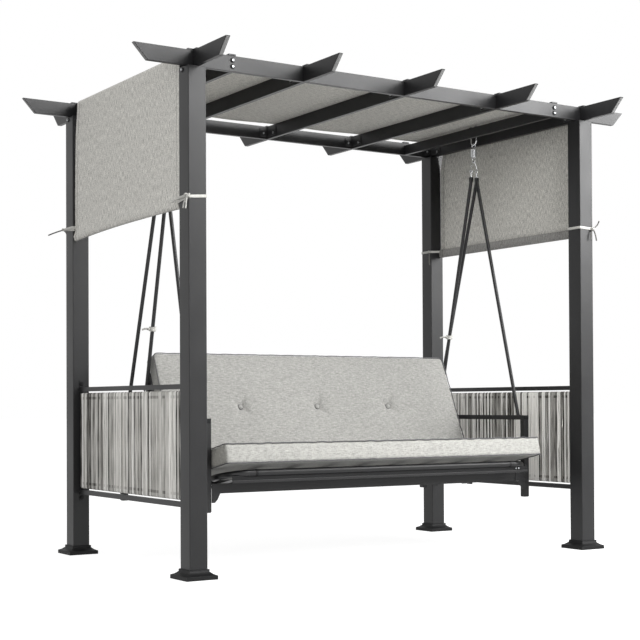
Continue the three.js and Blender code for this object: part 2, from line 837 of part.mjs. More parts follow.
function makeHanger() {
  const top = at(hangerX, 0, legTop);
  const footX = armOuterX + legSideGap + legRadius;
  const legs = [legFrontY, legRearY].map((y) => {
    const foot = at(footX, y, armTop - armBarHeight);
    return tubeAlong([foot, top], legRadius, legWall, legSides);
  });
  return join(...legs, ...hookParts(hangerX));
}

// Back stays: one tube from the inner hook to a tab beside the backrest frame
const lean = THREE.MathUtils.degToRad(backLean);
const backDirection = at(0, Math.sin(lean), Math.cos(lean));
const backNormal = at(0, -Math.cos(lean), Math.sin(lean));
const stayTop = at(stayX, 0, legTop);
const stayFoot = at(stayX, hingeY, hingeZ).addScaledVector(backDirection, backLength * stayFootShare);

function makeStay() {
  const tabXs = [backHalfWidth + backTubeRadius + stayTabGap, stayX];
  const half = stayTabLength / 2;
  const tab = block(tabXs, [stayFoot.y - half / 2, stayFoot.y + half / 2], [
    stayFoot.z - stayTabLength,
    stayFoot.z + half,
  ]);
  return join(tubeAlong([stayFoot, stayTop], legRadius, legWall, legSides), ...hookParts(stayX), tab);
}

// A cloth band knotted round each stay
function makeStayTie() {
  const along = stayTop.clone().sub(stayFoot).normalize();
  const middle = stayFoot.clone().lerp(stayTop, stayTieShare);
  const ends = [-stayTieHeight / 2, stayTieHeight / 2].map((step) =>
    middle.clone().addScaledVector(along, step),
  );
  const inner = legRadius + seatGap;
  const band = tubeAlong(ends, inner + stayTieWall, stayTieWall, legSides);
  const knot = new THREE.IcosahedronGeometry(knotRadius, knotDetail);
  knot.translate(middle.x, middle.y - inner - knotRadius, middle.z);
  const half = knotRadius / 2;
  const bridge = block(
    [middle.x - half, middle.x + half],
    [middle.y - inner - knotRadius, middle.y - inner - stayTieWall / 2],
    [middle.z - half, middle.z + half],
  );
  return join(band, knot, bridge);
}

// Arm frames: uprights, arm bar on top, lower rail and hinge plate
function plateWithHole(depthX, radius, holeRadius, points) {
  const shape = outline(points);
  shape.holes.push(outline(circlePoints(holeRadius, tubeSides, [hingeY, hingeZ]), THREE.Path));
  return alongAxis("x", extrude(shape, depthX[1] - depthX[0]).translate(0, 0, depthX[0]));
}

function makeArm() {
  const xs = [armInnerX, armOuterX];
  const frontYs = [armFrontY, armFrontY + armWidth];
  const rearYs = [armRearY - armWidth, armRearY];
  const barBottom = armTop - armBarHeight;
  const railXs = [armInnerX + seatGap, armInnerX + seatGap + sideRailThickness];
  const railZs = [sideRailBottom, sideRailBottom + sideRailHeight];
  const plateXs = [railXs[0], railXs[0] + hingePlateThickness];
  const low = hingeZ - hingePlateHalfWidth;
  const hole = hingeRadius + hingeHoleClearance;
  const plate = plateWithHole(plateXs, hingePlateHalfWidth, hole, [
    [hingeY - hingePlateHalfWidth, low],
    [hingeY + hingePlateHalfWidth, low],
    [hingeY + hingePlateHalfWidth, railZs[1]],
    [hingeY - hingePlateHalfWidth, railZs[1]],
  ]);
  return join(
    boxTube("z", xs, frontYs, [uprightBottom, barBottom + weldLap], armWall),
    boxTube("z", xs, rearYs, [rearUprightBottom, barBottom + weldLap], armWall),
    boxTube("y", xs, [armFrontY, armRearY + weldLap], [barBottom, armTop], armWall),
    block(railXs, [frontYs[1] - weldLap, rearYs[0] + weldLap], railZs),
    plate,
  );
}

// Base bars between the arm frames
function makeFrontBar() {
  const ys = [armFrontY, armFrontY + frontBarDepth];
  const zs = [frontBarBottom, frontBarBottom + frontBarHeight];
  const bar = boxTube("x", [-frontBarHalfLength, frontBarHalfLength], ys, zs, barWall);
  const end = armInnerX - seatGap;
  const start = frontBarHalfLength - gussetInset;
  const third = (frontBarBottom - gussetBottom) / 3;
  const gusset = outline([
    [start, zs[0]],
    [frontBarHalfLength, zs[0]],
    [frontBarHalfLength + third, gussetBottom + third],
    [frontBarHalfLength + 2 * third, gussetBottom],
    [end, gussetBottom],
    [end, zs[1]],
    [start, zs[1]],
  ]);
  const plate = extrude(gusset, gussetThickness).rotateX(Math.PI / 2);
  plate.translate(0, armFrontY + weldLap, 0);
  return join(bar, plate, mirrored(plate, -1));
}

function makeRearBar() {
  const end = armInnerX - seatGap;
  const zs = [rearBarBottom, rearBarBottom + rearBarHeight];
  return boxTube("x", [-end, end], [armRearY - armWidth, armRearY], zs, barWall);
}

put("base_bar_front", makeFrontBar(), charcoal);
put("base_bar_rear", makeRearBar(), charcoal);

// Points on the two tilted planes: along the plane, across it upwards
const seatDirection = at(0, Math.cos(tilt), -Math.sin(tilt));
const seatNormal = at(0, Math.sin(tilt), Math.cos(tilt));
const seatOrigin = at(0, seatFrontY, seatFrontZ);
const backOrigin = at(0, hingeY, hingeZ);

// A geometry drawn with X across, Y along the plane and Z off it, moved onto that plane.
function onPlane(geometry, origin, direction, normal) {
  const across = new THREE.Vector3().crossVectors(direction, normal);
  const frame = new THREE.Matrix4().makeBasis(across, direction, normal);
  return geometry.applyMatrix4(frame.setPosition(origin));
}

const onSeat = (geometry) => onPlane(geometry, seatOrigin, seatDirection, seatNormal);
const onBack = (geometry) => onPlane(geometry, backOrigin, backDirection, backNormal);

// A tube bent to a U in its own plane: ends at the open side, its bight at the far side.
function bentTube(halfWidth, openY, bightY, bend, radius, wall) {
  const toward = Math.sign(bightY - openY);
  const centreY = bightY - toward * bend;
  const centreX = halfWidth - bend;
  const stops = [at(-halfWidth, openY, 0)];
  for (const side of [-1, 1]) {
    for (let i = 0; i <= bendSteps; i += 1) {
      const turn = ((side < 0 ? i : bendSteps - i) / bendSteps) * (Math.PI / 2);
      const x = side * (centreX + bend * Math.cos(turn));
      stops.push(at(x, centreY + toward * bend * Math.sin(turn), 0));
    }
  }
  stops.push(at(halfWidth, openY, 0));
  return tubeAlong(stops, radius, wall, tubeSides);
}

function slats(halfWidth, from, to, zs) {
  const pitch = (2 * halfWidth) / (slatCount + 1);
  return Array.from({ length: slatCount }, (unused, i) => {
    const x = -halfWidth + (i + 1) * pitch;
    return block([x - slatWidth / 2, x + slatWidth / 2], [from, to], zs);
  });
}

function makeSeatFrame() {
  const slatZs = [seatTubeRadius - slatThickness, seatTubeRadius];
  const crossZs = [slatZs[0] - crossBarThickness, slatZs[0] + weldLap];
  const crossYs = [seatSlatEnd - crossBarWidth, seatSlatEnd];
  const cross = block([-seatHalfWidth, seatHalfWidth], crossYs, crossZs);
  const tube = bentTube(seatHalfWidth, seatSideEnd, 0, seatBend, seatTubeRadius, seatTubeWall);
  const plane = [tube, cross, ...slats(seatHalfWidth, 0, seatSlatEnd, slatZs)];
  const lipYs = [seatFrontY - deckLipThickness / 2, seatFrontY + deckLipThickness / 2];
  const lipTop = seatFrontZ - seatTubeRadius + weldLap;
  const lipXs = [deckLipEndGap - seatHalfWidth, seatHalfWidth - deckLipEndGap];
  const lip = block(lipXs, lipYs, [lipTop - deckLipHeight, lipTop]);
  const frame = join(...plane.map(onSeat), lip);
  const lugXs = [backHalfWidth + backTubeRadius + lugGap, 0];
  lugXs[1] = lugXs[0] + lugThickness;
  const root = backOrigin.clone().addScaledVector(seatDirection, -lugRunBack);
  const drop = seatDirection.z / seatDirection.y;
  const lug = plateWithHole(lugXs, lugRadius, hingeRadius + hingeHoleClearance, [
    [root.y, root.z - lugRadius / 2],
    [hingeY, hingeZ - lugRadius],
    [hingeY + lugRadius, hingeZ + lugRadius * drop],
    [hingeY + lugRadius / 2, hingeZ + lugRadius],
    [root.y, root.z + lugRadius / 2],
  ]);
  return join(frame, lug, mirrored(lug, -1));
}

function makeBackFrame() {
  const slatTop = backTubeRadius - backSlatInset;
  const slatZs = [slatTop - slatThickness, slatTop];
  const crossZs = [slatZs[0] - crossBarThickness, slatZs[0] + weldLap];
  const crossYs = [backCrossAt - crossBarWidth / 2, backCrossAt + crossBarWidth / 2];
  const cross = block([-backHalfWidth, backHalfWidth], crossYs, crossZs);
  const bight = backLength - backTubeRadius;
  const start = bossRadius / 2;
  const tube = bentTube(backHalfWidth, start, bight, backBend, backTubeRadius, backTubeWall);
  const plane = [tube, cross, ...slats(backHalfWidth, backSlatStart, bight, slatZs)];
  const bossXs = [-1, 1].map((side) => side * backHalfWidth);
  const bosses = bossXs.map((x) => {
    const boss = extrude(outline(circlePoints(bossRadius, tubeSides)), 2 * backTubeRadius);
    return alongAxis("x", boss.translate(0, 0, -backTubeRadius)).translate(x, hingeY, hingeZ);
  });
  const bores = bossXs.map((x) => {
    const reach = backTubeRadius + cutOverrun;
    const bore = extrude(outline(circlePoints(hingeRadius + bossHoleClearance, tubeSides)), 2 * reach);
    return alongAxis("x", bore.translate(0, 0, -reach)).translate(x, hingeY, hingeZ);
  });
  const drains = bossXs.map((x) => {
    const reach = bossRadius + cutOverrun;
    return onBack(tubeAlong([at(x, -reach, 0), at(x, reach, 0)], bossDrainRadius, 0, 6));
  });
  return cut(join(...plane.map(onBack), ...bosses), ...bores, ...drains);
}

put("seat_frame", makeSeatFrame(), charcoal);
put("backrest_frame", makeBackFrame(), charcoal);

// Hinge pins: through the backrest boss, the seat lug and the plate of the arm frame
function makePin() {
  const lugOuter = backHalfWidth + backTubeRadius + lugGap + lugThickness;
  const plateInner = armInnerX + seatGap;
  const start = backHalfWidth - backTubeRadius - pinInnerReach;
  const shoulder = [lugOuter + seatGap, plateInner - seatGap];
  const head = plateInner + hingePlateThickness + seatGap;
  const profile = [
    [0, start],
    [hingeRadius, start],
    [hingeRadius, shoulder[0]],
    [pinShoulderRadius, shoulder[0]],
    [pinShoulderRadius, shoulder[1]],
    [hingeRadius, shoulder[1]],
    [hingeRadius, head],
    [pinHeadRadius, head],
    [pinHeadRadius, head + pinHeadThickness],
    [0, head + pinHeadThickness],
  ];
  const lathe = new THREE.LatheGeometry(profile.map((point) => new THREE.Vector2(...point)), tubeSides);
  return lathe.rotateZ(-Math.PI / 2).translate(0, hingeY, hingeZ);
}

for (const side of sides) {
  put(`v_hanger_${side.name}`, mirrored(makeHanger(), side.sign), charcoal);
  put(`back_stay_${side.name}`, mirrored(makeStay(), side.sign), charcoal);
  put(`stay_tie_${side.name}`, mirrored(makeStayTie(), side.sign), tieCloth);
  put(`arm_frame_${side.name}`, mirrored(makeArm(), side.sign), charcoal);
  put(`hinge_pin_${side.name}`, mirrored(makePin(), side.sign), chrome);
}

// A boxed cushion: a grid of cells on the top and on the bottom, and a side band drawn in at
// half height. Its bottom edge lies at zero height, its front edge at zero depth.
function makeCushion(halfWidth, depth, boxing, crowns, cells, tufts) {
  const columns = cells.long;
  const rows = cells.deep;
  const corner = (u, v) => (u % columns === 0 && v % rows === 0 ? cushionCornerPull : 0);
  const point = (u, v, height, crown) => {
    const pull = corner(u, v);
    const x = (2 * u) / columns - 1;
    const y = (2 * v) / rows - 1;
    const swell = (1 - x ** 6) * (1 - y ** 4);
    const tuft = tufts.some((share) => share * columns === u && v * 2 === rows);
    return at(
      x * (halfWidth - pull),
      depth / 2 + y * (depth / 2 - pull),
      height + crown * swell - (tuft ? Math.sign(crown) * tuftDepth : 0),
    );
  };
  const border = [];
  for (let u = 0; u < columns; u += 1) border.push([u, 0]);
  for (let v = 0; v < rows; v += 1) border.push([columns, v]);
  for (let u = columns; u > 0; u -= 1) border.push([u, rows]);
  for (let v = rows; v > 0; v -= 1) border.push([0, v]);
  const corners = [];
  const quad = (a, b, c, d) => corners.push(a, b, c, a, c, d);
  for (let u = 0; u < columns; u += 1) {
    for (let v = 0; v < rows; v += 1) {
      const cell = [[u, v], [u + 1, v], [u + 1, v + 1], [u, v + 1]];
      quad(...cell.map(([a, b]) => point(a, b, boxing, crowns.top)));
      quad(...cell.reverse().map(([a, b]) => point(a, b, 0, -crowns.bottom)));
    }
  }
  const waist = (u, v) => {
    const edge = point(u, v, boxing / 2, 0);
    const middle = at(0, depth / 2, boxing / 2);
    const inward = middle.sub(edge);
    if (u % columns !== 0) inward.x = 0;
    if (v % rows !== 0) inward.y = 0;
    return edge.addScaledVector(inward.normalize(), cushionDrawIn);
  };
  border.forEach(([u, v], i) => {
    const [nextU, nextV] = border[(i + 1) % border.length];
    const low = [point(u, v, 0, 0), point(nextU, nextV, 0, 0)];
    const mid = [waist(u, v), waist(nextU, nextV)];
    const high = [point(u, v, boxing, 0), point(nextU, nextV, boxing, 0)];
    quad(low[0], low[1], mid[1], mid[0]);
    quad(mid[0], mid[1], high[1], high[0]);
  });
  const geometry = new THREE.BufferGeometry();
  const positions = corners.flatMap((each) => [each.x, each.y, each.z]);
  geometry.setAttribute("position", new THREE.Float32BufferAttribute(positions, 3));
  return geometry;
}

function makeSeatCushion() {
  const topFront = at(0, seatCushionFrontY, seatCushionTop);
  const bottomFront = topFront.addScaledVector(seatNormal, -boxingHeight);
  const rise = bottomFront.clone().sub(seatOrigin).dot(seatNormal);
  const crowns = { top: seatCrownTop, bottom: rise - seatTubeRadius - seatGap };
  const halfWidth = armInnerX - seatGap;
  const cushion = makeCushion(
    halfWidth, seatCushionDepth, boxingHeight, crowns, cushionCells, [],
  );
  return onPlane(cushion, bottomFront, seatDirection, seatNormal);
}

function makeBackCushion() {
  const crowns = { top: backCrown, bottom: 0 };
  const depth = backCushionEnd - backCushionStart;
  const cushion = makeCushion(
    backCushionHalfWidth, depth, backCushionThickness, crowns, backCushionCells, tuftShares,
  );
  const lift = backTubeRadius + seatGap;
  const origin = backOrigin.clone().addScaledVector(backDirection, backCushionStart);
  return onPlane(cushion, origin.addScaledVector(backNormal, lift), backDirection, backNormal);
}

put("seat_cushion", makeSeatCushion(), cushionCloth);
put("back_cushion", makeBackCushion(), cushionCloth);

export default swing;
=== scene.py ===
import math
from random import Random

import bmesh
import bpy
from mathutils import Matrix, Vector


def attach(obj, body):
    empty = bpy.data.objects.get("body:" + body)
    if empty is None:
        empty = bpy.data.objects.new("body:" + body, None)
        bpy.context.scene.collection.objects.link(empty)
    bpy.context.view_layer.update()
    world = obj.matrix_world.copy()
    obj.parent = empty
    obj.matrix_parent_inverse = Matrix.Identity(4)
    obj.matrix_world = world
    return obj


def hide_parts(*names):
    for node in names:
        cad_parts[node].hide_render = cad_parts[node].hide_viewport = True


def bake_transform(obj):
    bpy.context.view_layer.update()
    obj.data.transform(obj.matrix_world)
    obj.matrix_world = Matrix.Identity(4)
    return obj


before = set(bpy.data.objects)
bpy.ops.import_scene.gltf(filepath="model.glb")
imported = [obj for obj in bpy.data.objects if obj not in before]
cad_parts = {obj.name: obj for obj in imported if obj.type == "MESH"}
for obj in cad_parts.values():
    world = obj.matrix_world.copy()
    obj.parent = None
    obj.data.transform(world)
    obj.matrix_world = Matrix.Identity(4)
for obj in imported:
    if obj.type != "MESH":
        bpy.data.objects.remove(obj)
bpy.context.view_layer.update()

# Camera
# It stands in front of the left end, level with the arms, and looks across the seat to the
# right rear post. The shift only moves the swing to the middle of the frame.
pan, pitch, roll = -31.602, 90.787, -0.242


def turned(degrees, axis):
    return Matrix.Rotation(math.radians(degrees), 4, axis)


def moved(x, y, z):
    return Matrix.Translation((x, y, z))


bpy.ops.object.camera_add()
camera = bpy.context.object
camera.matrix_world = (
    moved(-3.6572, -5.3758, 0.6871) @ turned(pan, "Z") @ turned(pitch, "X") @ turned(roll, "Z")
)
camera.data.lens = 77.81
camera.data.shift_x, camera.data.shift_y = 0.080, 0.1022
camera.data.clip_end = 200
bpy.context.scene.camera = camera
bpy.context.scene.view_settings.view_transform = "Standard"


# Studio floor and light
# A sheet of matt white paper runs out of sight under the stand. A large soft lamp stands in
# front and to the right, weaker ones fill from the left and from above in front, and white walls
# do the rest.
def linear(code):
    shares = [int(code[i : i + 2], 16) / 255 for i in (1, 3, 5)]
    return [s / 12.92 if s <= 0.04045 else ((s + 0.055) / 1.055) ** 2.4 for s in shares] + [1]


def join_up(tree, node, inputs):
    """Gives sockets their values: a number, a colour in hex, a socket, or a node's first output."""
    for socket, value in inputs.items():
        if isinstance(value, bpy.types.Node):
            value = next(output for output in value.outputs if output.enabled)
        if isinstance(value, bpy.types.NodeSocket):
            tree.links.new(value, node.inputs[socket])
        else:
            node.inputs[socket].default_value = linear(value) if isinstance(value, str) else value


def add_node(tree, kind, inputs={}, **settings):
    node = tree.nodes.new("ShaderNode" + kind)
    for name, value in settings.items():
        setattr(node, name, value)
    join_up(tree, node, inputs)
    return node


def new_finish(name, inputs):
    material = bpy.data.materials.new(name)
    material.use_nodes = True
    tree = material.node_tree
    shader = tree.nodes["Principled BSDF"]
    join_up(tree, shader, inputs)
    return material, tree, shader


def choose_nothing():
    bpy.ops.object.select_all(action="DESELECT")


choose_nothing()
bpy.ops.mesh.primitive_plane_add(size=120)
floor = bpy.context.object
floor.name = "paper_floor"
# Uncoated paper, matt. It is white where the camera or a reflection looks at it, and a light grey
# where light bounces off it.
paper, tree, shader = new_finish(
    "matt_white_paper",
    {"Base Color": "#a2a2a2", "Roughness": 1.0, "Specular IOR Level": 0.0, "Emission Color": "#ffffff"},
)
rays = add_node(tree, "LightPath")
looks = {0: rays.outputs["Is Camera Ray"], 1: rays.outputs["Is Glossy Ray"]}
seen = add_node(tree, "Math", looks, operation="MAXIMUM")
lift = add_node(tree, "Math", {0: seen, 1: 0.84}, operation="MULTIPLY")
join_up(tree, shader, {"Emission Strength": lift})
floor.data.materials.append(paper)

world = bpy.data.worlds.new("white_walls")
bpy.context.scene.world = world
world.use_nodes = True
tree = world.node_tree
rays = add_node(tree, "LightPath")
looks = {0: rays.outputs["Is Camera Ray"], 1: rays.outputs["Is Glossy Ray"]}
seen = add_node(tree, "Math", looks, operation="MAXIMUM")
clear = add_node(tree, "Math", {0: seen, 1: rays.outputs["Is Transmission Ray"]}, operation="MAXIMUM")
# The walls are lighter than the ceiling, so upright faces are lit as much as level ones.
way = add_node(tree, "TexCoord")
height = add_node(tree, "SeparateXYZ", {0: way.outputs["Generated"]})
level = add_node(
    tree,
    "MapRange",
    {"Value": height.outputs[2], "From Min": 0.0, "From Max": 0.8, "To Min": 0.92, "To Max": 0.55},
)
fill = add_node(tree, "Background", {"Color": "#ffffff", "Strength": level})
white = add_node(tree, "Background", {"Color": "#ffffff", "Strength": 1.0})
walls = add_node(tree, "MixShader", {0: clear, 1: fill, 2: white})
join_up(tree, tree.nodes["World Output"], {"Surface": walls})

for name, place, width, power in (
    ("soft_lamp", (3.0, -3.2, 2.9), 2.6, 280),
    ("fill_lamp", (-4.6, -3.6, 1.8), 3.0, 50),
    ("top_lamp", (0.3, -3.2, 3.1), 1.2, 70),
):
    bpy.ops.object.light_add(type="AREA", location=place)
    lamp = bpy.context.object
    lamp.name = name
    lamp.data.size = width
    lamp.data.energy = power
    lamp.rotation_euler = (Vector((0, 0, 1.0)) - lamp.location).to_track_quat("-Z", "Y").to_euler()

# Posts
# Square steel tubes, 80 mm wide, welded on base plates and powder coated in charcoal. The coat
# leaves a fine orange peel, a satin shine and rounded folds.
# The two colours of a colour mix have these socket numbers.
mix_a, mix_b = 6, 7
charcoal, tree, shader = new_finish("powder_coated_steel", {"Metallic": 0.0, "Specular IOR Level": 0.36})
place = add_node(tree, "TexCoord").outputs["Object"]
# The baked coat clouds over 200 mm.
cloud = add_node(tree, "TexNoise", {"Vector": place, "Scale": 1 / 0.2, "Detail": 2.0})
# Metal flakes in the powder are 0.2 mm wide; they are drawn at 1.5 mm so that they show.
flake = add_node(tree, "TexVoronoi", {"Vector": place, "Scale": 1 / 0.0015})
speck = add_node(
    tree,
    "MapRange",
    {"Value": flake.outputs["Color"], "From Min": 0.2, "From Max": 1.0, "To Min": 0.0, "To Max": 0.35},
)
mottle = add_node(tree, "Math", {0: cloud, 1: speck}, operation="ADD")
tone = add_node(tree, "Mix", {0: mottle, mix_a: "#111112", mix_b: "#1d1d1e"}, data_type="RGBA")
# Orange peel, lumps 2 mm across.
peel = add_node(tree, "TexNoise", {"Vector": place, "Scale": 1 / 0.002, "Detail": 1.0})
dent = add_node(tree, "Bump", {"Height": peel, "Strength": 0.25, "Distance": 0.0002})
gloss = add_node(
    tree,
    "MapRange",
    {"Value": cloud, "From Min": 0.3, "From Max": 0.7, "To Min": 0.38, "To Max": 0.46},
    name="gloss",
)
join_up(tree, shader, {"Base Color": tone, "Roughness": gloss, "Normal": dent})


def make_active(piece):
    choose_nothing()
    piece.select_set(True)
    bpy.context.view_layer.objects.active = piece


def edit(piece):
    make_active(piece)
    bpy.ops.object.mode_set(mode="EDIT")


def choose_all():
    bpy.ops.mesh.select_all(action="SELECT")


def finish_with(piece, kind, **settings):
    """Adds a modifier with its settings and applies it."""
    modifier = piece.modifiers.new(kind.lower(), kind)
    for name, value in settings.items():
        setattr(modifier, name, value)
    bpy.ops.object.modifier_apply(modifier=modifier.name)


def even_faces(piece):
    """Keeps flat faces flat to the eye, so that only their rounded edges shade over."""
    finish_with(piece, "WEIGHTED_NORMAL", keep_sharp=True)


def fit(piece, body, node=None):
    """A finished piece rides on its body, and stands for its solid if it has one."""
    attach(piece, body)
    if node:
        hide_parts(node)


def coated_copy(node, body, finish, rounding=0.002, least_edge=0.06):
    """A copy of a node with its long outer edges rounded, as folded and coated steel has them."""
    piece = bpy.data.objects.new(node + "_coated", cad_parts[node].data.copy())
    bpy.context.scene.collection.objects.link(piece)
    edit(piece)
    choose_all()
    bpy.ops.mesh.remove_doubles(threshold=0.00005)
    bpy.ops.mesh.dissolve_limited(angle_limit=math.radians(1))
    mesh = bmesh.from_edit_mesh(piece.data)
    weight = mesh.edges.layers.float.new("bevel_weight_edge")
    for edge in mesh.edges:
        if len(edge.link_faces) == 2 and edge.calc_length() > least_edge:
            edge[weight] = float(edge.calc_face_angle_signed() > math.radians(50))
    bmesh.update_edit_mesh(piece.data)
    bpy.ops.object.mode_set(mode="OBJECT")
    finish_with(piece, "BEVEL", limit_method="WEIGHT", width=rounding, segments=2)
    bpy.ops.object.shade_smooth_by_angle(angle=math.radians(35))
    even_faces(piece)
    piece.data.materials.clear()
    piece.data.materials.append(finish)
    fit(piece, body, node)


ends = ("front", "rear")
sides = {"left": -1, "right": 1}
for end in ends:
    for side in sides:
        coated_copy(f"post_{end}_{side}", "stand", charcoal, 0.003)


# Foot covers
# Two-part skirts of moulded black polypropylene that clip round each post over its base plate.
# The mould gives a dull, soft grain and slightly blunt edges.
def grained_finish(name, grain, dark, light, inputs, gloss=None, dent=None):
    """A finish whose colour varies with a grain, and its roughness and relief where they are given."""
    finish, tree, shader = new_finish(name, inputs)
    place = add_node(tree, "TexCoord").outputs["Object"]
    cloud = add_node(tree, "TexNoise", {"Vector": place, "Scale": 1 / grain, "Detail": 2.0})
    tone = add_node(tree, "Mix", {0: cloud, mix_a: dark, mix_b: light}, data_type="RGBA", name="tone")
    join_up(tree, shader, {"Base Color": tone})
    if gloss:
        span = {"From Min": 0.3, "From Max": 0.7, "To Min": gloss[0], "To Max": gloss[1]}
        rough = add_node(tree, "MapRange", {"Value": cloud, **span})
        join_up(tree, shader, {"Roughness": rough})
    if dent:
        relief = add_node(tree, "Bump", {"Height": cloud, "Strength": dent[0], "Distance": dent[1]})
        join_up(tree, shader, {"Normal": relief})
    return finish


# Mould grain of 0.8 mm, drawn at 1.6 mm.
black = grained_finish(
    "moulded_polypropylene",
    0.0016,
    "#0a0a0b",
    "#151516",
    {"Roughness": 0.58, "Specular IOR Level": 0.22},
    dent=(0.3, 0.0003),
)
for end in ends:
    for side in sides:
        coated_copy(f"foot_cover_{end}_{side}", "stand", black, 0.0015, 0.02)

# Beams and rafters
# Flat steel tubes, 64 by 20 mm, in the same coat. The two beams rest on the posts and the
# rafters butt between them.
rafter_names = ["left_end", "left", "middle", "right", "right_end"]
rafter_pitch = 0.5205
rafter_xs = [-1.041 + i * rafter_pitch for i in range(5)]
beam_bottom, beam_top = 2.026, 2.090
for name in [f"beam_{end}" for end in ends] + [f"rafter_{name}" for name in rafter_names]:
    coated_copy(name, "stand", charcoal)


# Tails
# Short ends of the same tube carry the line of beams and rafters past the frame. Each is sawn
# at a slant and closed by a grey moulded cap, and a folded clip holds its root from above.
def begin(name):
    """Names the primitive just added, puts its place and size in its mesh, and opens it."""
    piece = bpy.context.object
    piece.name = name
    bpy.ops.object.transform_apply(location=True, rotation=True, scale=True)
    edit(piece)
    return piece


def choose(piece, test, kind="FACE"):
    """Selects the faces, edges or points whose middle passes the test, in edit mode."""
    bpy.ops.mesh.select_mode(type=kind)
    mesh = bmesh.from_edit_mesh(piece.data)
    for group in (mesh.faces, mesh.edges, mesh.verts):
        for each in group:
            each.select = False
    for each in {"FACE": mesh.faces, "EDGE": mesh.edges, "VERT": mesh.verts}[kind]:
        if kind == "FACE":
            middle = each.calc_center_median()
        elif kind == "EDGE":
            middle = (each.verts[0].co + each.verts[1].co) / 2
        else:
            middle = each.co
        if test(each, middle):
            each.select_set(True)
    bmesh.update_edit_mesh(piece.data)


def shift(x, y, z):
    bpy.ops.transform.translate(value=(x, y, z))


def blunt_edges(offset, segments=2):
    bpy.ops.mesh.bevel(offset=offset, segments=segments, affect="EDGES")


def done(piece, finish, smooth=35):
    """Closes a piece with its place in its mesh, and gives it its finish."""
    bpy.ops.object.mode_set(mode="OBJECT")
    make_active(piece)
    bpy.ops.object.transform_apply(location=True, rotation=True, scale=True)
    bpy.ops.object.shade_smooth_by_angle(angle=math.radians(smooth))
    piece.data.materials.append(finish)
    return piece


def faces_up(face, middle):
    return face.normal.z > 0.9


def moulded_slab(name, size, rounding, finish):
    """A slab on its base, its edges rounded and its top face drawn in to a low step."""
    choose_nothing()
    bpy.ops.mesh.primitive_cube_add(size=1, location=(0, 0, size[2] / 2), scale=size)
    piece = begin(name)
    choose(piece, faces_up)
    bpy.ops.mesh.inset(thickness=min(size[:2]) * 0.22)
    shift(0, 0, size[2] * 0.15)
    choose_all()
    blunt_edges(rounding)
    done(piece, finish)
    even_faces(piece)
    return piece


def copy_to(source, name, *moves):
    piece = source.copy()
    piece.data = source.data.copy()
    piece.name = name
    bpy.context.scene.collection.objects.link(piece)
    matrix = Matrix.Identity(4)
    for move in moves:
        matrix = matrix @ move
    piece.data.transform(matrix)
    return piece


def drop(*pieces):
    """Removes the pieces that were only there to be copied."""
    for piece in pieces:
        bpy.data.objects.remove(piece)


def welded(name, pieces, body, node=None):
    """Joins finished pieces to one and lets it ride on its body."""
    make_active(pieces[0])
    for piece in pieces:
        piece.select_set(True)
    bpy.ops.object.join()
    whole = bpy.context.object
    whole.name = name
    fit(whole, body, node)


# Moulded caps are a plain, half-matt grey with a grain of 2 mm.
grey = grained_finish("moulded_grey_polyethylene", 0.002, "#6a6a6a", "#7b7b7a", {"Roughness": 0.5})

tails = [f"tail_{end}_{name}" for end in ends for name in rafter_names]
tails += [f"tail_{side}_{end}" for side in sides for end in ends]
for name in tails:
    coated_copy(name, "stand", charcoal)

tail_height, cut_run, tail_reach = 0.064, 0.060, 0.230
tail_root_y, tail_root_x, end_tail_y = 0.5803, 1.0513, 0.570
slant = math.degrees(math.atan2(cut_run, tail_height))
cap_length = math.hypot(cut_run, tail_height) - 0.006
end_cap = moulded_slab("end_cap", (cap_length, 0.0155, 0.0015), 0.0006, grey)
root_clip = moulded_slab("root_clip", (0.036, 0.016, 0.006), 0.001, charcoal)
tail_roots = []
for sign in (-1, 1):
    tail_roots += [(x, sign * tail_root_y, sign * 90) for x in rafter_xs]
    heading = 0 if sign > 0 else 180
    tail_roots += [(sign * tail_root_x, y, heading) for y in (-end_tail_y, end_tail_y)]
caps, clips = [], []
for i, (x, y, heading) in enumerate(tail_roots):
    root = [moved(x, y, 0), turned(heading, "Z")]
    on_cut = [moved(tail_reach, 0, beam_bottom + tail_height / 2), turned(90 + slant, "Y")]
    caps.append(copy_to(end_cap, f"cap_{i}", *root, *on_cut))
    clips.append(copy_to(root_clip, f"clip_{i}", *root, moved(0.004, 0, beam_top)))
drop(end_cap, root_clip)
welded("tail_end_caps", caps, "stand")
welded("tail_root_clips", clips, "stand")

# Bolts of the stand
# Zinc-plated hexagon bolts with a dark washer, M8, screwed in where beams, rails, brackets and
# posts meet. Zinc gives a bright grey, clouded every few millimetres.
zinc = grained_finish(
    "bright_zinc_plate", 0.004, "#929496", "#b8babb", {"Metallic": 1.0}, gloss=(0.26, 0.40)
)


def hexagon_bolt(name):
    """A domed hexagon head on a washer, standing on the origin and pointing up."""
    choose_nothing()
    bpy.ops.mesh.primitive_cylinder_add(vertices=18, radius=0.0105, depth=0.0016)
    washer = begin("washer")
    shift(0, 0, 0.0008)
    choose_all()
    blunt_edges(0.0004, 1)
    done(washer, black)
    choose_nothing()
    bpy.ops.mesh.primitive_cylinder_add(vertices=6, radius=0.0056, depth=0.005)
    head = begin(name)
    shift(0, 0, 0.0041)
    choose(head, faces_up)
    bpy.ops.mesh.inset(thickness=0.0012)
    shift(0, 0, 0.0009)
    done(head, zinc)
    washer.select_set(True)
    bpy.ops.object.join()
    return head


bolt = hexagon_bolt("bolt")
to_front, to_back = turned(90, "X"), turned(-90, "X")
to_left, to_right = turned(-90, "Y"), turned(90, "Y")
stand_bolts = [
    (turn, x, y, z)
    for turn, y in ((to_front, -0.580), (to_back, 0.580))
    for x, heights in ((-0.872, (2.0716, 2.0461)), (0.8675, (2.0700, 2.0446)))
    for z in heights
]
stand_bolts += [
    (turn, x, y, 2.0120) for turn, x in ((to_left, -1.086), (to_right, 1.086)) for y in (-0.555, 0.571)
]
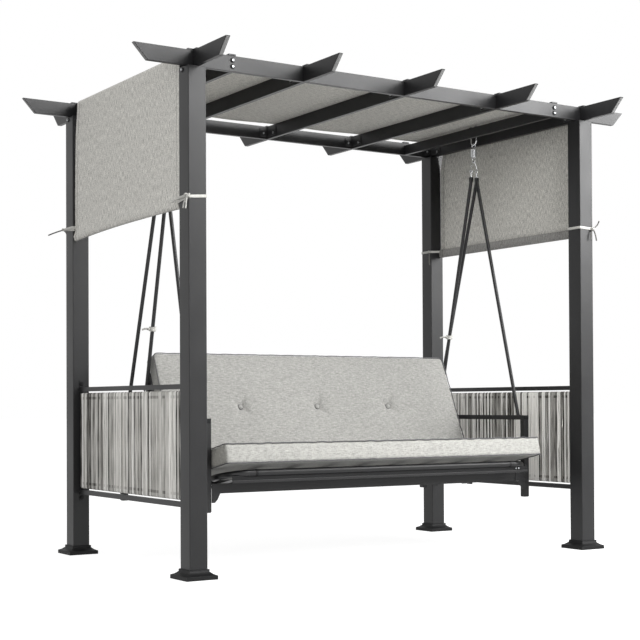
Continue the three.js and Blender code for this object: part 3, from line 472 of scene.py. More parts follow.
# Two bolts through each angle bracket: one in the beam and one in the rafter's side. The bracket
# lies on the rafter's left, and on the right of the first one.
bracket_sides = [1, -1, -1, -1, -1]
beam_face_y = 0.5575
for x, beside in zip(rafter_xs, bracket_sides):
    for sign in (-1, 1):
        into_beam = to_front if sign > 0 else to_back
        into_rafter = to_left if beside < 0 else to_right
        stand_bolts.append((into_beam, x + beside * 0.033, sign * beam_face_y, 2.0540))
        stand_bolts.append((into_rafter, x + beside * 0.0125, sign * 0.4900, 2.0480))
# One blackened bolt holds each bracket of the side panels.
panel_x = 1.046
panel_bolts = [
    (turn, sign * panel_x, y, z)
    for sign in (-1, 1)
    for turn, y in ((to_back, -0.5197), (to_front, 0.5197))
    for z in (0.785, 0.262)
]


def bolts_at(name, places, turn=None):
    return [
        copy_to(bolt, f"{name}_{i}", moved(*place[-3:]), turn or place[0]) for i, place in enumerate(places)
    ]


welded("stand_bolts", bolts_at("stand_bolt", stand_bolts), "stand")
black_bolts = bolts_at("panel_bolt", panel_bolts)
for piece in black_bolts:
    for i in range(len(piece.data.materials)):
        piece.data.materials[i] = black
welded("panel_bolts", black_bolts, "stand")


# Angle brackets of the rafters
# Folded from 2 mm steel: one leaf lies on the rafter's side and one on the beam's inner face.
# The hooked ends of the swing rails and the plugs of the rear beam's cover strip go with them.
def pull_out(x, y, z):
    bpy.ops.mesh.extrude_region_move(TRANSFORM_OT_translate={"value": (x, y, z)})


def face_out():
    choose_all()
    bpy.ops.mesh.normals_make_consistent(inside=False)


leaf_width, leaf_height, leaf_reach = 0.040, 0.046, 0.085
choose_nothing()
bpy.ops.mesh.primitive_plane_add(size=1, location=(leaf_width / 2, 0, 0.032), rotation=(math.pi / 2, 0, 0))
bpy.context.object.scale = (leaf_width, leaf_height, 1)
angle = begin("angle")
choose(angle, lambda edge, middle: middle.x < 0.001, "EDGE")
pull_out(0, leaf_reach, 0)
face_out()
bpy.ops.object.mode_set(mode="OBJECT")
finish_with(angle, "SOLIDIFY", thickness=0.002)
finish_with(angle, "BEVEL", width=0.0007, segments=2)
done(angle, charcoal)
angles = []
for i, (x, beside) in enumerate(zip(rafter_xs, bracket_sides)):
    for sign in (-1, 1):
        mirrored = Matrix.Diagonal((beside, -sign, 1, 1))
        start = moved(x + beside * 0.0115, sign * beam_face_y, beam_bottom)
        angles.append(copy_to(angle, f"angle_{i}_{sign}", start, mirrored))
        if beside * -sign < 0:
            angles[-1].data.flip_normals()
welded("rafter_angle_brackets", angles, "stand")

rail_hook = moulded_slab("rail_hook", (0.034, 0.020, 0.007), 0.001, charcoal)
top_plug = moulded_slab("top_plug", (0.020, 0.020, 0.014), 0.002, black)
hook_places = [(x, y) for x in (-0.872, 0.872) for y in (-0.570, 0.570)]
hooks = [copy_to(rail_hook, f"rail_hook_{x}_{y}", moved(x, y, beam_top)) for x, y in hook_places]
hooks += [copy_to(top_plug, f"top_plug_{x}", moved(x, 0.570, beam_top)) for x in (-1.020, 1.020)]
drop(angle, rail_hook, top_plug)
welded("rail_hooks", hooks, "stand")

# Swing rails and U-bolts
# Two deeper tubes under the canopy carry the swing. A chromed U-bolt passes up through each
# and is held by two nuts on top; its bend is the pivot.
for side in sides:
    coated_copy(f"swing_rail_{side}", "stand", charcoal)

# Drawn wire with chrome on it mirrors the studio, with faint clouds 6 mm wide.
chrome = grained_finish(
    "chromed_steel_wire", 0.006, "#cfd1d3", "#e2e3e4", {"Metallic": 1.0}, gloss=(0.10, 0.20)
)


def drawn_along(name, points, finish, closed=False, **section):
    """A wire, cord or strip on a row of points; the section is given by the curve's settings."""
    line = bpy.data.curves.new(name, "CURVE")
    line.dimensions = "3D"
    for setting, value in section.items():
        setattr(line, setting, value)
    line.use_fill_caps = not closed
    spline = line.splines.new("POLY")
    spline.points.add(len(points) - 1)
    for point, place in zip(spline.points, points):
        point.co = (*place, 1)
    spline.use_cyclic_u = closed
    piece = bpy.data.objects.new(name, line)
    bpy.context.scene.collection.objects.link(piece)
    make_active(piece)
    bpy.ops.object.convert(target="MESH")
    piece = bpy.context.object
    edit(piece)
    choose_all()
    bpy.ops.mesh.remove_doubles(threshold=0.00002)
    face_out()
    return done(piece, finish, 50)


def wire_along(name, points, radius, finish, facets=8, closed=False):
    """A round wire or cord on a row of points."""
    return drawn_along(name, points, finish, closed, bevel_depth=radius, bevel_resolution=facets // 4 - 1)


def arc(centre, radius, start, stop, steps, across=(1, 0, 0), up=(0, 0, 1)):
    """Points on an arc, from one angle to another in degrees."""
    points = []
    for i in range(steps + 1):
        turn = math.radians(start + (stop - start) * i / steps)
        reach = Vector(across) * math.cos(turn) + Vector(up) * math.sin(turn)
        points.append(Vector(centre) + reach * radius)
    return points


rail_x, rail_top = 0.868, 2.076
pivot_z, bend_radius = 1.9885, 0.020
thread_end = rail_top + 0.0062
for side, sign in sides.items():
    x = sign * rail_x
    bend = arc((x, 0, pivot_z + bend_radius), bend_radius, 180, 360, 14, (0, 1, 0))
    run = [Vector((x, -bend_radius, thread_end)), *bend, Vector((x, bend_radius, thread_end))]
    nuts = [(x, y, rail_top + 0.0003) for y in (-bend_radius, bend_radius)]
    parts = [wire_along(f"u_wire_{side}", run, 0.0035, chrome, 12)]
    parts += bolts_at(f"u_nut_{side}", nuts, Matrix.Identity(4))
    welded(f"u_bolt_{side}_chromed", parts, "stand", f"u_bolt_{side}")

# Side panel frames
# Each is welded from two rails, two uprights and two thin round bars, with a bracket at every
# corner bolted to the posts. The rope winds round the thin bars.
for side in sides:
    coated_copy(f"side_panel_frame_{side}", "stand", charcoal, 0.0012)

# Rope windings
# Flat woven olefin rope, wound round the two thin bars strand beside strand. It is matt; single
# strands are lighter or darker, partly at random and partly as painted shade and light, wander a
# little, and show the slant of their plaiting.
rope, tree, shader = new_finish("plaited_olefin_rope", {"Roughness": 0.85})
strand_map = add_node(tree, "UVMap", uv_map="strand")
parts = add_node(tree, "SeparateXYZ", {0: strand_map})
height_on_strand, strand_shade = parts.outputs[0], parts.outputs[1]
# Along a strand its shade wanders every 140 mm, as the flat rope twists to the light and away.
twist_place = add_node(tree, "Mapping", {"Vector": strand_map, "Scale": (7.0, 60.0, 1.0)})
twist = add_node(tree, "TexNoise", {"Vector": twist_place, "Scale": 1.0, "Detail": 1.0})
wander = add_node(
    tree,
    "MapRange",
    {"Value": twist, "From Min": 0.3, "From Max": 0.7, "To Min": -0.16, "To Max": 0.18},
)
wandered = add_node(tree, "Math", {0: strand_shade, 1: wander}, operation="ADD")
# Where the strands leave the two bars, over 12 mm, every other one is pressed in and in shadow.
upper_row, lower_row, half_row = 0.719, 0.329, 0.006
over = add_node(tree, "Math", {0: height_on_strand, 1: upper_row, 2: half_row}, operation="COMPARE")
under = add_node(tree, "Math", {0: height_on_strand, 1: lower_row, 2: half_row}, operation="COMPARE")
near_bar = add_node(tree, "Math", {0: over, 1: under}, operation="ADD")
many = add_node(tree, "Math", {0: strand_shade, 1: 14.0}, operation="MULTIPLY")
turn_about = add_node(tree, "Math", {0: many}, operation="FRACT")
every_other = add_node(tree, "Math", {0: turn_about, 1: 0.45}, operation="GREATER_THAN")
pressed = add_node(tree, "Math", {0: near_bar, 1: every_other}, operation="MULTIPLY")
shadow = add_node(tree, "Math", {0: pressed, 1: 0.25}, operation="MULTIPLY")
lightness = add_node(tree, "Math", {0: wandered, 1: shadow}, operation="SUBTRACT", use_clamp=True)
shade = add_node(tree, "Mix", {0: lightness, mix_a: "#34322f", mix_b: "#fbf9f4"}, data_type="RGBA")
# Plaits of 5 mm along the strand, and fibres that fray over 12 mm.
plait = add_node(
    tree,
    "TexWave",
    {"Vector": strand_map, "Scale": 0.314 / 0.005, "Distortion": 1.5, "Detail": 1.0},
    bands_direction="X",
)
place = add_node(tree, "TexCoord").outputs["Object"]
fray = add_node(tree, "TexNoise", {"Vector": place, "Scale": 1 / 0.012})
knit = add_node(tree, "Math", {0: plait.outputs[1], 1: fray}, operation="MULTIPLY")
tone = add_node(
    tree, "Mix", {0: knit, mix_a: shade, mix_b: "#f0ede6"}, data_type="RGBA", blend_type="SOFT_LIGHT"
)
dent = add_node(tree, "Bump", {"Height": knit, "Strength": 0.5, "Distance": 0.001})
join_up(tree, shader, {"Base Color": tone, "Normal": dent})

upper_bar_z, lower_bar_z = 0.7343, 0.3137
strand_width, strand_count, panel_end = 0.0092, 86, 0.5105
choose_nothing()
bpy.ops.mesh.primitive_circle_add(vertices=12, radius=0.0080, rotation=(math.pi / 2, math.radians(15), 0))
strand = begin("strand")
choose(strand, lambda point, middle: middle.z > 0, "VERT")
shift(0, 0, upper_bar_z)
choose(strand, lambda point, middle: middle.z < 0.1, "VERT")
shift(0, 0, lower_bar_z)
choose(strand, lambda edge, middle: 0.45 < middle.z < 0.6, "EDGE")
bpy.ops.mesh.subdivide(number_cuts=5)
choose_all()
pull_out(0, strand_width, 0)
choose_all()
shift(0, -strand_width / 2, 0)
bpy.ops.mesh.normals_make_consistent(inside=False)
bpy.ops.object.mode_set(mode="OBJECT")
finish_with(strand, "SOLIDIFY", thickness=0.0022, offset=0)
done(strand, rope, 60)
strand.data.uv_layers.new(name="strand")

chance = Random(7)
# Painted light: the darkest strands are painted shade for the gaps between strands, and the right panel's
# strands are painted lighter, because the inner face of that panel lies in shade.
strand_tones_with_painted_light = {
    "left": (0.08, 0.40, 0.50, 0.56, 0.60, 0.68, 1.0),
    "right": (0.10, 0.30, 0.80, 1.0, 1.15, 1.2, 1.2),
}
pitch = (2 * panel_end - strand_width) / (strand_count - 1)
for side, sign in sides.items():
    strands = []
    for i in range(strand_count):
        y = -panel_end + strand_width / 2 + i * pitch
        each = copy_to(strand, f"strand_{side}_{i}", moved(sign * panel_x, y, 0))
        shade_value = chance.choice(strand_tones_with_painted_light[side]) + chance.uniform(-0.06, 0.06)
        sway, phase, lean = chance.uniform(0, 0.0024), chance.uniform(0, 6), chance.uniform(-1, 1)
        narrow = chance.choice((0.55, 0.8, 1.0, 1.0))
        for point in each.data.vertices:
            height = (point.co.z - lower_bar_z) / (upper_bar_z - lower_bar_z)
            slack = math.sin(math.pi * min(1, max(0, height)))
            if point.co.x < sign * panel_x:
                point.co.y = y + (point.co.y - y) * (1 - (1 - narrow) * min(1, 3 * slack))
            point.co.y += sway * math.sin(height * 9 + phase) * slack + 0.0009 * lean * (height - 0.5)
            point.co.x += 0.0012 * lean * slack * slack
        for loop in each.data.loops:
            height = each.data.vertices[loop.vertex_index].co.z
            each.data.uv_layers["strand"].data[loop.index].uv = (height, shade_value)
        strands.append(each)
    welded(f"rope_winding_{side}_strands", strands, "stand", f"rope_winding_{side}")
drop(strand)

# Canopy cloth
# One strip of polyester cloth, woven from heathered grey yarn, lies over the rafters and hangs
# as a curtain at both ends. Its edges are turned over and stitched, its ends sewn to a sleeve.
weave, tree, shader = new_finish(
    "woven_polyester_canopy", {"Roughness": 0.95, "Sheen Weight": 0.15, "Sheen Roughness": 0.6}
)
cloth_map = add_node(tree, "UVMap", uv_map="UVMap")
# The map is in metres: U along the strip, V across it. Slubs are 26 mm long (38 to the metre) and
# 1 mm thick, drawn 3 mm thick (320) so that they show. Cross threads of 1 mm are drawn at 4 by 7.
slub_place = add_node(tree, "Mapping", {"Vector": cloth_map, "Scale": (38.0, 320.0, 1.0)})
slub = add_node(tree, "TexNoise", {"Vector": slub_place, "Scale": 1.0, "Detail": 3.0, "Roughness": 0.6})
thread_place = add_node(tree, "Mapping", {"Vector": cloth_map, "Scale": (240.0, 150.0, 1.0)})
thread = add_node(tree, "TexNoise", {"Vector": thread_place, "Scale": 1.0, "Detail": 2.0})
heather = add_node(tree, "Math", {0: thread, 1: 0.6, 2: slub}, operation="MULTIPLY_ADD")
share = add_node(tree, "MapRange", {"Value": heather, "From Min": 0.62, "From Max": 0.98})
ground = add_node(tree, "Mix", {0: share, mix_a: "#9f9d97", mix_b: "#f4f2eb"}, data_type="RGBA")
# Two stitch lines run 24 mm in from each long edge.
on_map = add_node(tree, "SeparateXYZ", {0: cloth_map})
from_middle = add_node(tree, "Math", {0: on_map.outputs[1], 1: 0.5}, operation="SUBTRACT")
off_middle = add_node(tree, "Math", {0: from_middle}, operation="ABSOLUTE")
stitch_inset = 0.024
stitch = add_node(
    tree, "Math", {0: off_middle, 1: 0.5 - stitch_inset, 2: 0.0012}, operation="COMPARE"
)
sewn = add_node(tree, "Mix", {0: stitch, mix_a: ground, mix_b: "#6f6c66"}, data_type="RGBA")
# The turned-up flap of each end sleeve is double and lets no light through, so it is drawn
# darker, as painted shade.
flap_height = 0.046
at_start = add_node(tree, "Math", {0: on_map.outputs[0], 1: flap_height}, operation="LESS_THAN")
at_end = add_node(tree, "Math", {0: on_map.outputs[0]}, operation="GREATER_THAN")
flap = add_node(tree, "Math", {0: at_start, 1: at_end}, operation="ADD")
flap_in_painted_shade = add_node(
    tree, "Mix", {0: flap, mix_a: sewn, mix_b: "#b2b2b4"}, data_type="RGBA", blend_type="MULTIPLY"
)
dent = add_node(tree, "Bump", {"Height": heather, "Strength": 0.35, "Distance": 0.0006})
join_up(tree, shader, {"Base Color": flap_in_painted_shade, "Normal": dent})

curtain_x, hem_bottom, hem_inner_x = 1.0730, 1.472, 1.0636
canopy_front, canopy_back, cloth_z = -0.505, 0.495, 2.0915
beam_fold = 0.020
sleeve_top = hem_bottom + 0.020
half_line = [Vector((hem_inner_x, 0, hem_bottom + rise)) for rise in (0.043, 0.022)]
half_line += arc((1.0683, 0, hem_bottom + 0.0056), 0.0047, 180, 360, 6)
half_line += [Vector((curtain_x, 0, sleeve_top + (2.066 - sleeve_top) * i / 22)) for i in range(22)]
half_line += arc((curtain_x - beam_fold, 0, cloth_z - beam_fold), beam_fold, 0, 90, 6)
for span in (1, 0):
    start = 0.0100 + span * rafter_pitch
    for i in range(16, -1, -1):
        sag = 0.0044 * math.sin(i / 16 * math.pi) ** 2
        half_line.append(Vector((start + (rafter_pitch - 0.020) * i / 16, 0, cloth_z - sag)))
line = half_line + [Vector((-p.x, 0, p.z)) for p in reversed(half_line)]
along = [0.0]
for before, after in zip(line, line[1:]):
    along.append(along[-1] + (after - before).length)
at_end.inputs[1].default_value = along[-1] - flap_height
across = [0, 0.012, 0.024, 0.0265] + [0.0265 + 0.947 * i / 24 for i in range(1, 24)]
across += [0.9735, 0.976, 0.988, 1]

columns = len(line)
choose_nothing()
bpy.ops.mesh.primitive_grid_add(x_subdivisions=columns - 1, y_subdivisions=len(across) - 1, size=1)
canopy = bpy.context.object
canopy.name = "canopy_cloth_hung"
hem = canopy.vertex_groups.new(name="hem")
chance = Random(11)
sways = [(chance.uniform(2, 6), chance.uniform(0, 6), chance.uniform(0.2, 0.5)) for i in range(6)]
for i, point in enumerate(canopy.data.vertices):
    place, share = line[i % columns], across[i // columns]
    y = canopy_front + (canopy_back - canopy_front) * share
    x, z = place.x, place.z
    hang = min(1, max(0, (2.06 - z) / 0.55))
    if hang > 0:
        # The curtain hangs in shallow folds that run down from the beam to the tied corners.
        wave = sum(size * math.sin(rate * (share * 3 + hang * 0.4) + start) for rate, start, size in sways)
        x += math.copysign(0.0011 * wave * math.sin(hang * math.pi), x)
        # Its rear edge reaches the post, and the tie draws the left rear corner down and back.
        flare = share**3 * min(1, 5 * hang)
        if x < 0:
            y += (0.014 + 0.020 * hang) * flare
            z -= (0.004 + 0.024 * share**3) * hang * hang
        else:
            y += 0.0245 * flare
            z += 0.006 * hang
        # The cord inside rounds the sleeve.
        in_sleeve = (place.z - hem_bottom) / 0.045
        if in_sleeve < 1:
            round_out = 0.0080 * math.sin(math.pi * max(0, in_sleeve)) ** 0.7
            x += math.copysign(round_out, x) * (1 if abs(place.x) > 1.068 else -0.5)
    point.co = (x, y, z)
    hem.add([i], 1.0 if share < 0.025 or share > 0.975 else 0.5, "REPLACE")
for loop in canopy.data.loops:
    column, row = loop.vertex_index % columns, loop.vertex_index // columns
    canopy.data.uv_layers[0].data[loop.index].uv = (along[column], across[row])
edit(canopy)
face_out()
bpy.ops.object.mode_set(mode="OBJECT")
finish_with(canopy, "SOLIDIFY", thickness=0.0022, offset=0, vertex_group="hem")
done(canopy, weave, 50)
fit(canopy, "stand", "canopy_cloth")

# Tie cords
# A flat braided cord runs through each sleeve, is wound once round the post at both corners and
# knotted there, and its cut ends hang from the knot. The braid is matt, with plaits of 4 mm.
braid = grained_finish(
    "braided_polyester_cord", 0.004, "#a3a29e", "#d8d7d2", {"Roughness": 0.9}, dent=(0.6, 0.001)
)


def recoloured(finish, name, dark, light):
    other = finish.copy()
    other.name = name
    join_up(other.node_tree, other.node_tree.nodes["tone"], {mix_a: dark, mix_b: light})
    return other


# A darker copy of the cord's finish, painted shade: the tails hang in shade and are drawn dark.
cord_tails_painted_shade = recoloured(braid, "braided_cord_painted_shade", "#3c3b39", "#7e7d79")


def knot_of(name, centre, size, finish):
    """An overhand knot: one thick turn of the cord round itself, pulled tight."""
    turns = []
    for i in range(48):
        t = 2 * math.pi * i / 48
        x = (math.sin(t) + 2 * math.sin(2 * t)) * size * 0.30
        y = (math.cos(t) - 2 * math.cos(2 * t)) * size * 0.30
        turns.append(Vector(centre) + Vector((x, y, -math.sin(3 * t) * size * 0.42)))
    return wire_along(name, turns, size * 0.30, finish, closed=True)


def relaxed(points, rounds=2):
    """The same route with its corners cut, so that a limp cord bends and doesn't fold."""
    for _ in range(rounds):
        middle = []
        for a, b in zip(points, points[1:]):
            middle += [a.lerp(b, 0.25), a.lerp(b, 0.75)]
        points = [points[0], *middle, points[-1]]
    return points


def strip_along(name, points, half_width, thickness, finish):
    """A flat strip of cloth on edge, along a row of points."""
    return drawn_along(
        name,
        points,
        finish,
        twist_mode="Z_UP",
        extrude=half_width - thickness / 2,
        bevel_depth=thickness / 2,
        bevel_resolution=1,
    )


post_x, post_half, corner_round = 1.046, 0.0400, 0.0045
strip_half_width, strip_thickness, strip_gap, tail_radius = 0.0061, 0.0019, 0.0022, 0.0031
# For each corner: which side, which post row, where the strip leaves the sleeve, its height on
# the post's outer and inner face, the knot and its size, the finish and the ends of its tails.
corners = {
    "front_left": (
        "left", -0.563, (-1.0755, -0.507, 1.494), (1.505, 1.511), (-1.0925, -0.6045, 1.5075), 0.0128, braid,
        [
            ("stiff", (-1.0935, -0.475, 1.4960)),
            ("limp", (-1.0970, -0.575, 1.461)),
            ("limp", (-1.0990, -0.602, 1.456)),
        ],
    ),
    "rear_left": (
        "left", 0.563, (-1.0760, 0.524, 1.497), (1.505, 1.505), (-1.0930, 0.608, 1.505), 0.0096, cord_tails_painted_shade,
        [("stiff", (-1.0945, 0.790, 1.499)), ("limp", (-1.066, 0.6135, 1.450))],
    ),
    "front_right": (
        "right", -0.563, (1.0700, -0.507, 1.512), (1.512, 1.516), (1.080, -0.6105, 1.512), 0.0096, cord_tails_painted_shade,
        [
            ("stiff", (1.1140, -0.6180, 1.550)),
            ("limp", (1.0630, -0.6130, 1.458)),
            ("limp", (1.1015, -0.6130, 1.456)),
        ],
    ),
    "rear_right": (
        "right", 0.563, (1.0700, 0.520, 1.522), (1.510, 1.508), (1.0005, 0.530, 1.508), 0.0096, cord_tails_painted_shade,
        [("limp", (0.9935, 0.522, 1.437)), ("limp", (1.0000, 0.538, 1.452))],
    ),
}
for name, (side, post_y, hem_end, face_heights, knot_at, knot_size, tail_finish, tails) in corners.items():
    sign, away = sides[side], math.copysign(1, post_y)
    outer_z, inner_z = face_heights
    middle = post_half + strip_gap - corner_round
    # Each bend round the post: its quarter, its first and last angle, and the strip's height there.
    # The strip first runs along the outer face, so it starts behind the corner next to the hem.
    ring = []
    for across, back, first, last, z in (
        (1, -1, 90, 0, hem_end[2]),
        (1, 1, 0, -90, outer_z),
        (-1, 1, -90, -180, inner_z),
        (-1, -1, 180, 90, inner_z),
    ):
        centre = (across * middle, -back * middle, 0)
        for bend in arc(centre, corner_round, first, last, 5, (1, 0, 0), (0, 1, 0)):
            ring.append(Vector((post_x * sign + bend.x * sign, post_y - bend.y * away, z)))
    lap = Vector((sign * strip_gap, -away * strip_gap, 0.002))
    last_lap = [Vector((*point[:2], outer_z)) + lap for point in ring[:6]]
    knot_point = Vector(knot_at)
    run = [Vector(hem_end), *ring, *last_lap]
    if name != "rear_right":
        run.append(knot_point)
    wound = strip_along(f"tie_turn_{name}", run, strip_half_width, strip_thickness, braid)
    knot = knot_of(f"tie_knot_{name}", knot_at, knot_size, braid)
    node = f"tie_cord_{side}" if away > 0 else None
    welded(f"tie_cord_{name}", [wound, knot], "stand", node)
    for i, (stiff, end) in enumerate(tails):
        stop = Vector(end)
        start = knot_point + (stop - knot_point).normalized() * 0.006
        reach = stop - start
        level, drop_by = Vector((reach.x, reach.y, 0)), Vector((0, 0, reach.z))
        fall = [start + level * out + drop_by * down for out, down in ((0, 0), (0.35, 0.12), (0.75, 0.5))]
        route = relaxed([*fall, stop], 2)
        tail = wire_along(f"tie_tail_{name}_{i + 1}", route, tail_radius, tail_finish)
        fit(tail, "stand")

# Suspension springs
# Two tension springs of 4.4 mm wire, chromed. Each hooks on the bend of its U-bolt, and its
# lower loop is turned a quarter to take the link.
wire = 0.0022
loop_radius, coil_radius, coil_turns, coil_pitch = 0.0108, 0.0134, 8.25, 0.0051
upper_loop_z = 1.9843
coil_top = upper_loop_z - loop_radius - 0.005
coil_bottom = coil_top - coil_turns * coil_pitch
lower_loop_z = coil_bottom - 0.005 - loop_radius
for side, sign in sides.items():
    x = sign * rail_x
    path = arc((x, 0, upper_loop_z), loop_radius, -140, -400, 20)
    for i in range(int(coil_turns * 24) + 1):
        turn = i / 24 * 2 * math.pi
        z = coil_top - i / 24 * coil_pitch
        path.append(Vector((x + coil_radius * math.cos(turn), coil_radius * math.sin(turn), z)))
    path += arc((x, 0, lower_loop_z), loop_radius, 40, -220, 20, (0, 1, 0))
    spring = wire_along(f"spring_{side}_wound", path, wire, chrome, 12)
    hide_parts(f"spring_{side}")
    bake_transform(spring)

# Links and hooks
# A chromed triangle hangs in each spring. Its lower bar carries two swivel hooks, one for the
# V hanger outside and one for the back stay inside.
link_wire, link_bar_z, link_top = 0.0025, 1.8556, 1.9044
link_half, link_tip = 0.0272, 0.0058
link_corners = (
    (-link_half, link_bar_z),
    (link_half, link_bar_z),
    (link_tip, link_top),
    (-link_tip, link_top),
    (-link_half, link_bar_z),
)
for side, sign in sides.items():
    triangle = relaxed([Vector((sign * rail_x + reach, 0, z)) for reach, z in link_corners], 3)[:-1]
    link = wire_along(f"link_{side}_bent", triangle, link_wire, chrome, 12, closed=True)
    fit(link, "swing", f"link_{side}")

# V hangers and back stays
# Round steel tubes, 17 mm, flattened and bolted at the arm and at the backrest. At the top
# they meet in a moulded block that turns on the hook's shank.
leg_top, leg_radius, hook_ring_z = 1.813, 0.0085, 1.8537
hanger_x, stay_x, leg_x = 0.886, 0.850, 0.8966
stay_foot_y, stay_foot_z = 0.2397, 0.7704


def round_tube(name, start, stop, radius, finish, step=0.0):
    """A turned tube from one point to another, its ends drawn in to a rounded rim."""
    start, stop = Vector(start), Vector(stop)
    run = stop - start
    choose_nothing()
    bpy.ops.mesh.primitive_cylinder_add(vertices=24, radius=radius, depth=run.length)
    tube = begin(name)
    for way in (-1, 1):
        choose(tube, lambda face, middle: face.normal.z * way > 0.9)
        bpy.ops.mesh.inset(thickness=radius * 0.12)
        shift(0, 0, way * radius * 0.10)
        bpy.ops.mesh.inset(thickness=radius * 0.30)
        shift(0, 0, -way * step)
    bpy.ops.object.mode_set(mode="OBJECT")
    aim = run.to_track_quat("Z", "Y").to_matrix().to_4x4()
    tube.matrix_world = Matrix.Translation((start + stop) / 2) @ aim
    return done(tube, finish, 40)


def swivel_hook(name, x):
    """The ring on the link's bar, its shank, and the moulded block under it."""
    turn = arc((x, 0, hook_ring_z), 0.0080, 0, 345, 23, (0, 1, 0))
    ring = wire_along(f"{name}_ring", turn, 0.00225, chrome, 12, True)
    shank = round_tube(
        f"{name}_shank", (x, 0, hook_ring_z - 0.0095), (x, 0, leg_top + 0.008), 0.003, chrome
    )
    collar = round_tube(
        f"{name}_collar", (x, 0, leg_top + 0.011), (x, 0, leg_top + 0.016), 0.0062, zinc
    )
    choose_nothing()
    bpy.ops.mesh.primitive_cube_add(size=1, location=(x, 0, leg_top), scale=(0.0165, 0.0165, 0.023))
    block = begin(f"{name}_block")
    choose(block, lambda face, middle: abs(face.normal.z) < 0.1)
    bpy.ops.mesh.inset(thickness=0.0025, use_individual=True)
    choose_all()
    blunt_edges(0.0012)
    return [done(block, charcoal), ring, shank, collar]


for side, sign in sides.items():
    outward = to_left if sign < 0 else to_right
    top = Vector((sign * hanger_x, 0, leg_top - 0.004))
    parts = swivel_hook(f"hanger_{side}", sign * hanger_x)
    for y in (-0.289, 0.357):
        foot = Vector((sign * leg_x, y, 0.6125))
        parts.append(round_tube(f"hanger_{side}_{y}", foot, top, leg_radius, charcoal, 0.004))
        near = foot.lerp(top, 0.006)
        at_foot = (sign * (leg_x + 0.0096), near.y, near.z)
        parts += bolts_at(f"hanger_bolt_{side}_{y}", [at_foot], outward)
    welded(f"v_hanger_{side}_tubes", parts, "swing", f"v_hanger_{side}")

    foot = (sign * stay_x, stay_foot_y, stay_foot_z)
    top = (sign * stay_x, 0, leg_top - 0.004)
    parts = swivel_hook(f"stay_{side}", sign * stay_x)
    parts.append(round_tube(f"stay_{side}_tube", foot, top, leg_radius, charcoal, 0.004))
    choose_nothing()
    bpy.ops.mesh.primitive_cube_add(
        size=1, location=(sign * 0.8448, stay_foot_y, 0.7619), scale=(0.0105, 0.017, 0.051)
    )
    tab = begin(f"stay_{side}_tab")
    choose(tab, lambda edge, middle: abs(edge.verts[0].co.x - edge.verts[1].co.x) > 0.005, "EDGE")
    blunt_edges(0.006, 4)
    parts.append(done(tab, charcoal))
    parts += bolts_at(f"stay_bolt_{side}", [(sign * 0.8602, stay_foot_y, 0.758)], outward)
    welded(f"back_stay_{side}_tube", parts, "swing", f"back_stay_{side}")

# Stay ties
# A strip of the tie cord's cloth is wound four times round each back stay above the backrest and
# knotted, to hold a loose cushion corner.
turns, wound_width, wound_radius = 4, 0.018, 0.0138
for side, sign in sides.items():
    foot, top = Vector((sign * stay_x, stay_foot_y, stay_foot_z)), Vector((sign * stay_x, 0, leg_top))
    middle = foot.lerp(top, 0.2464)
    up, across = (top - foot).normalized(), Vector((1, 0, 0))
    helix = []
    for i in range(turns * 16 + 1):
        turn = i / 16 * 2 * math.pi
        rise = (i / (turns * 16) - 0.5) * wound_width
        reach = across * math.cos(turn) + up.cross(across) * math.sin(turn)
        helix.append(middle + up * rise + reach * wound_radius)
    at_knot = middle + Vector((-0.018, 0, 0))
    end = [at_knot, middle + Vector((-0.030, 0.012, 0.002)), middle + Vector((-0.040, 0.026, -0.003))]
    parts = [
        wire_along(f"stay_wound_{side}", helix, 0.0033, braid),
        knot_of(f"stay_knot_{side}", at_knot, 0.0080, braid),
        strip_along(f"stay_stub_{side}", relaxed(end), 0.0042, 0.0018, braid),
    ]
    welded(f"stay_tie_{side}_wound", parts, "swing", f"stay_tie_{side}")

# Arm frames and base bars
# Each arm is welded from flat tube: two uprights, the arm bar and a lower rail with the hinge
# plate. The front bar is bolted between the arms by its gussets, the rear bar by its ends.
for name in ("arm_frame_left", "arm_frame_right", "base_bar_front", "base_bar_rear"):
    coated_copy(name, "swing", charcoal, 0.0010)
arm_x, arm_outer_x, arm_bar_z = 0.872, 0.886, 0.6195
upright_front_y, upright_rear_y = -0.356, 0.431
upright_plug = moulded_slab("upright_plug", (0.0245, 0.0245, 0.003), 0.0008, black)
arm_plug = moulded_slab("arm_plug", (0.018, 0.0245, 0.003), 0.0008, black)
plugs, arm_bolts = [], []
for side, sign in sides.items():
    for y, z in ((upright_front_y, 0.2425), (upright_rear_y, 0.2485)):
        at_foot = moved(sign * arm_x, y, z)
        plugs.append(copy_to(upright_plug, f"upright_plug_{side}_{y}", at_foot, turned(180, "X")))
    for y, turn in ((-0.3695, to_front), (0.4451, to_back)):
        at_tip = moved(sign * arm_x, y, arm_bar_z)
        plugs.append(copy_to(arm_plug, f"arm_plug_{side}_{y}", at_tip, turn, turned(90, "Z")))
    low_bolts = [(sign * arm_outer_x, y, 0.330) for y in (upright_front_y, upright_rear_y)]
    arm_bolts += bolts_at(f"arm_bolt_{side}", low_bolts, to_left if sign < 0 else to_right)
drop(upright_plug, arm_plug)
welded("arm_plugs", plugs, "swing")
welded("arm_bolts", arm_bolts, "swing")

# Seat frame
# One round tube bent to a U, with flat slats and a cross bar welded inside it, a lip under the
# front and a hinge lug at each side. All of it falls to the back.
semi_gloss = charcoal.copy()
semi_gloss.name = "semi_gloss_coated_tube"
tree = semi_gloss.node_tree
join_up(tree, tree.nodes["gloss"], {"To Min": 0.25, "To Max": 0.32})
join_up(tree, tree.nodes["Principled BSDF"], {"Specular IOR Level": 0.45})


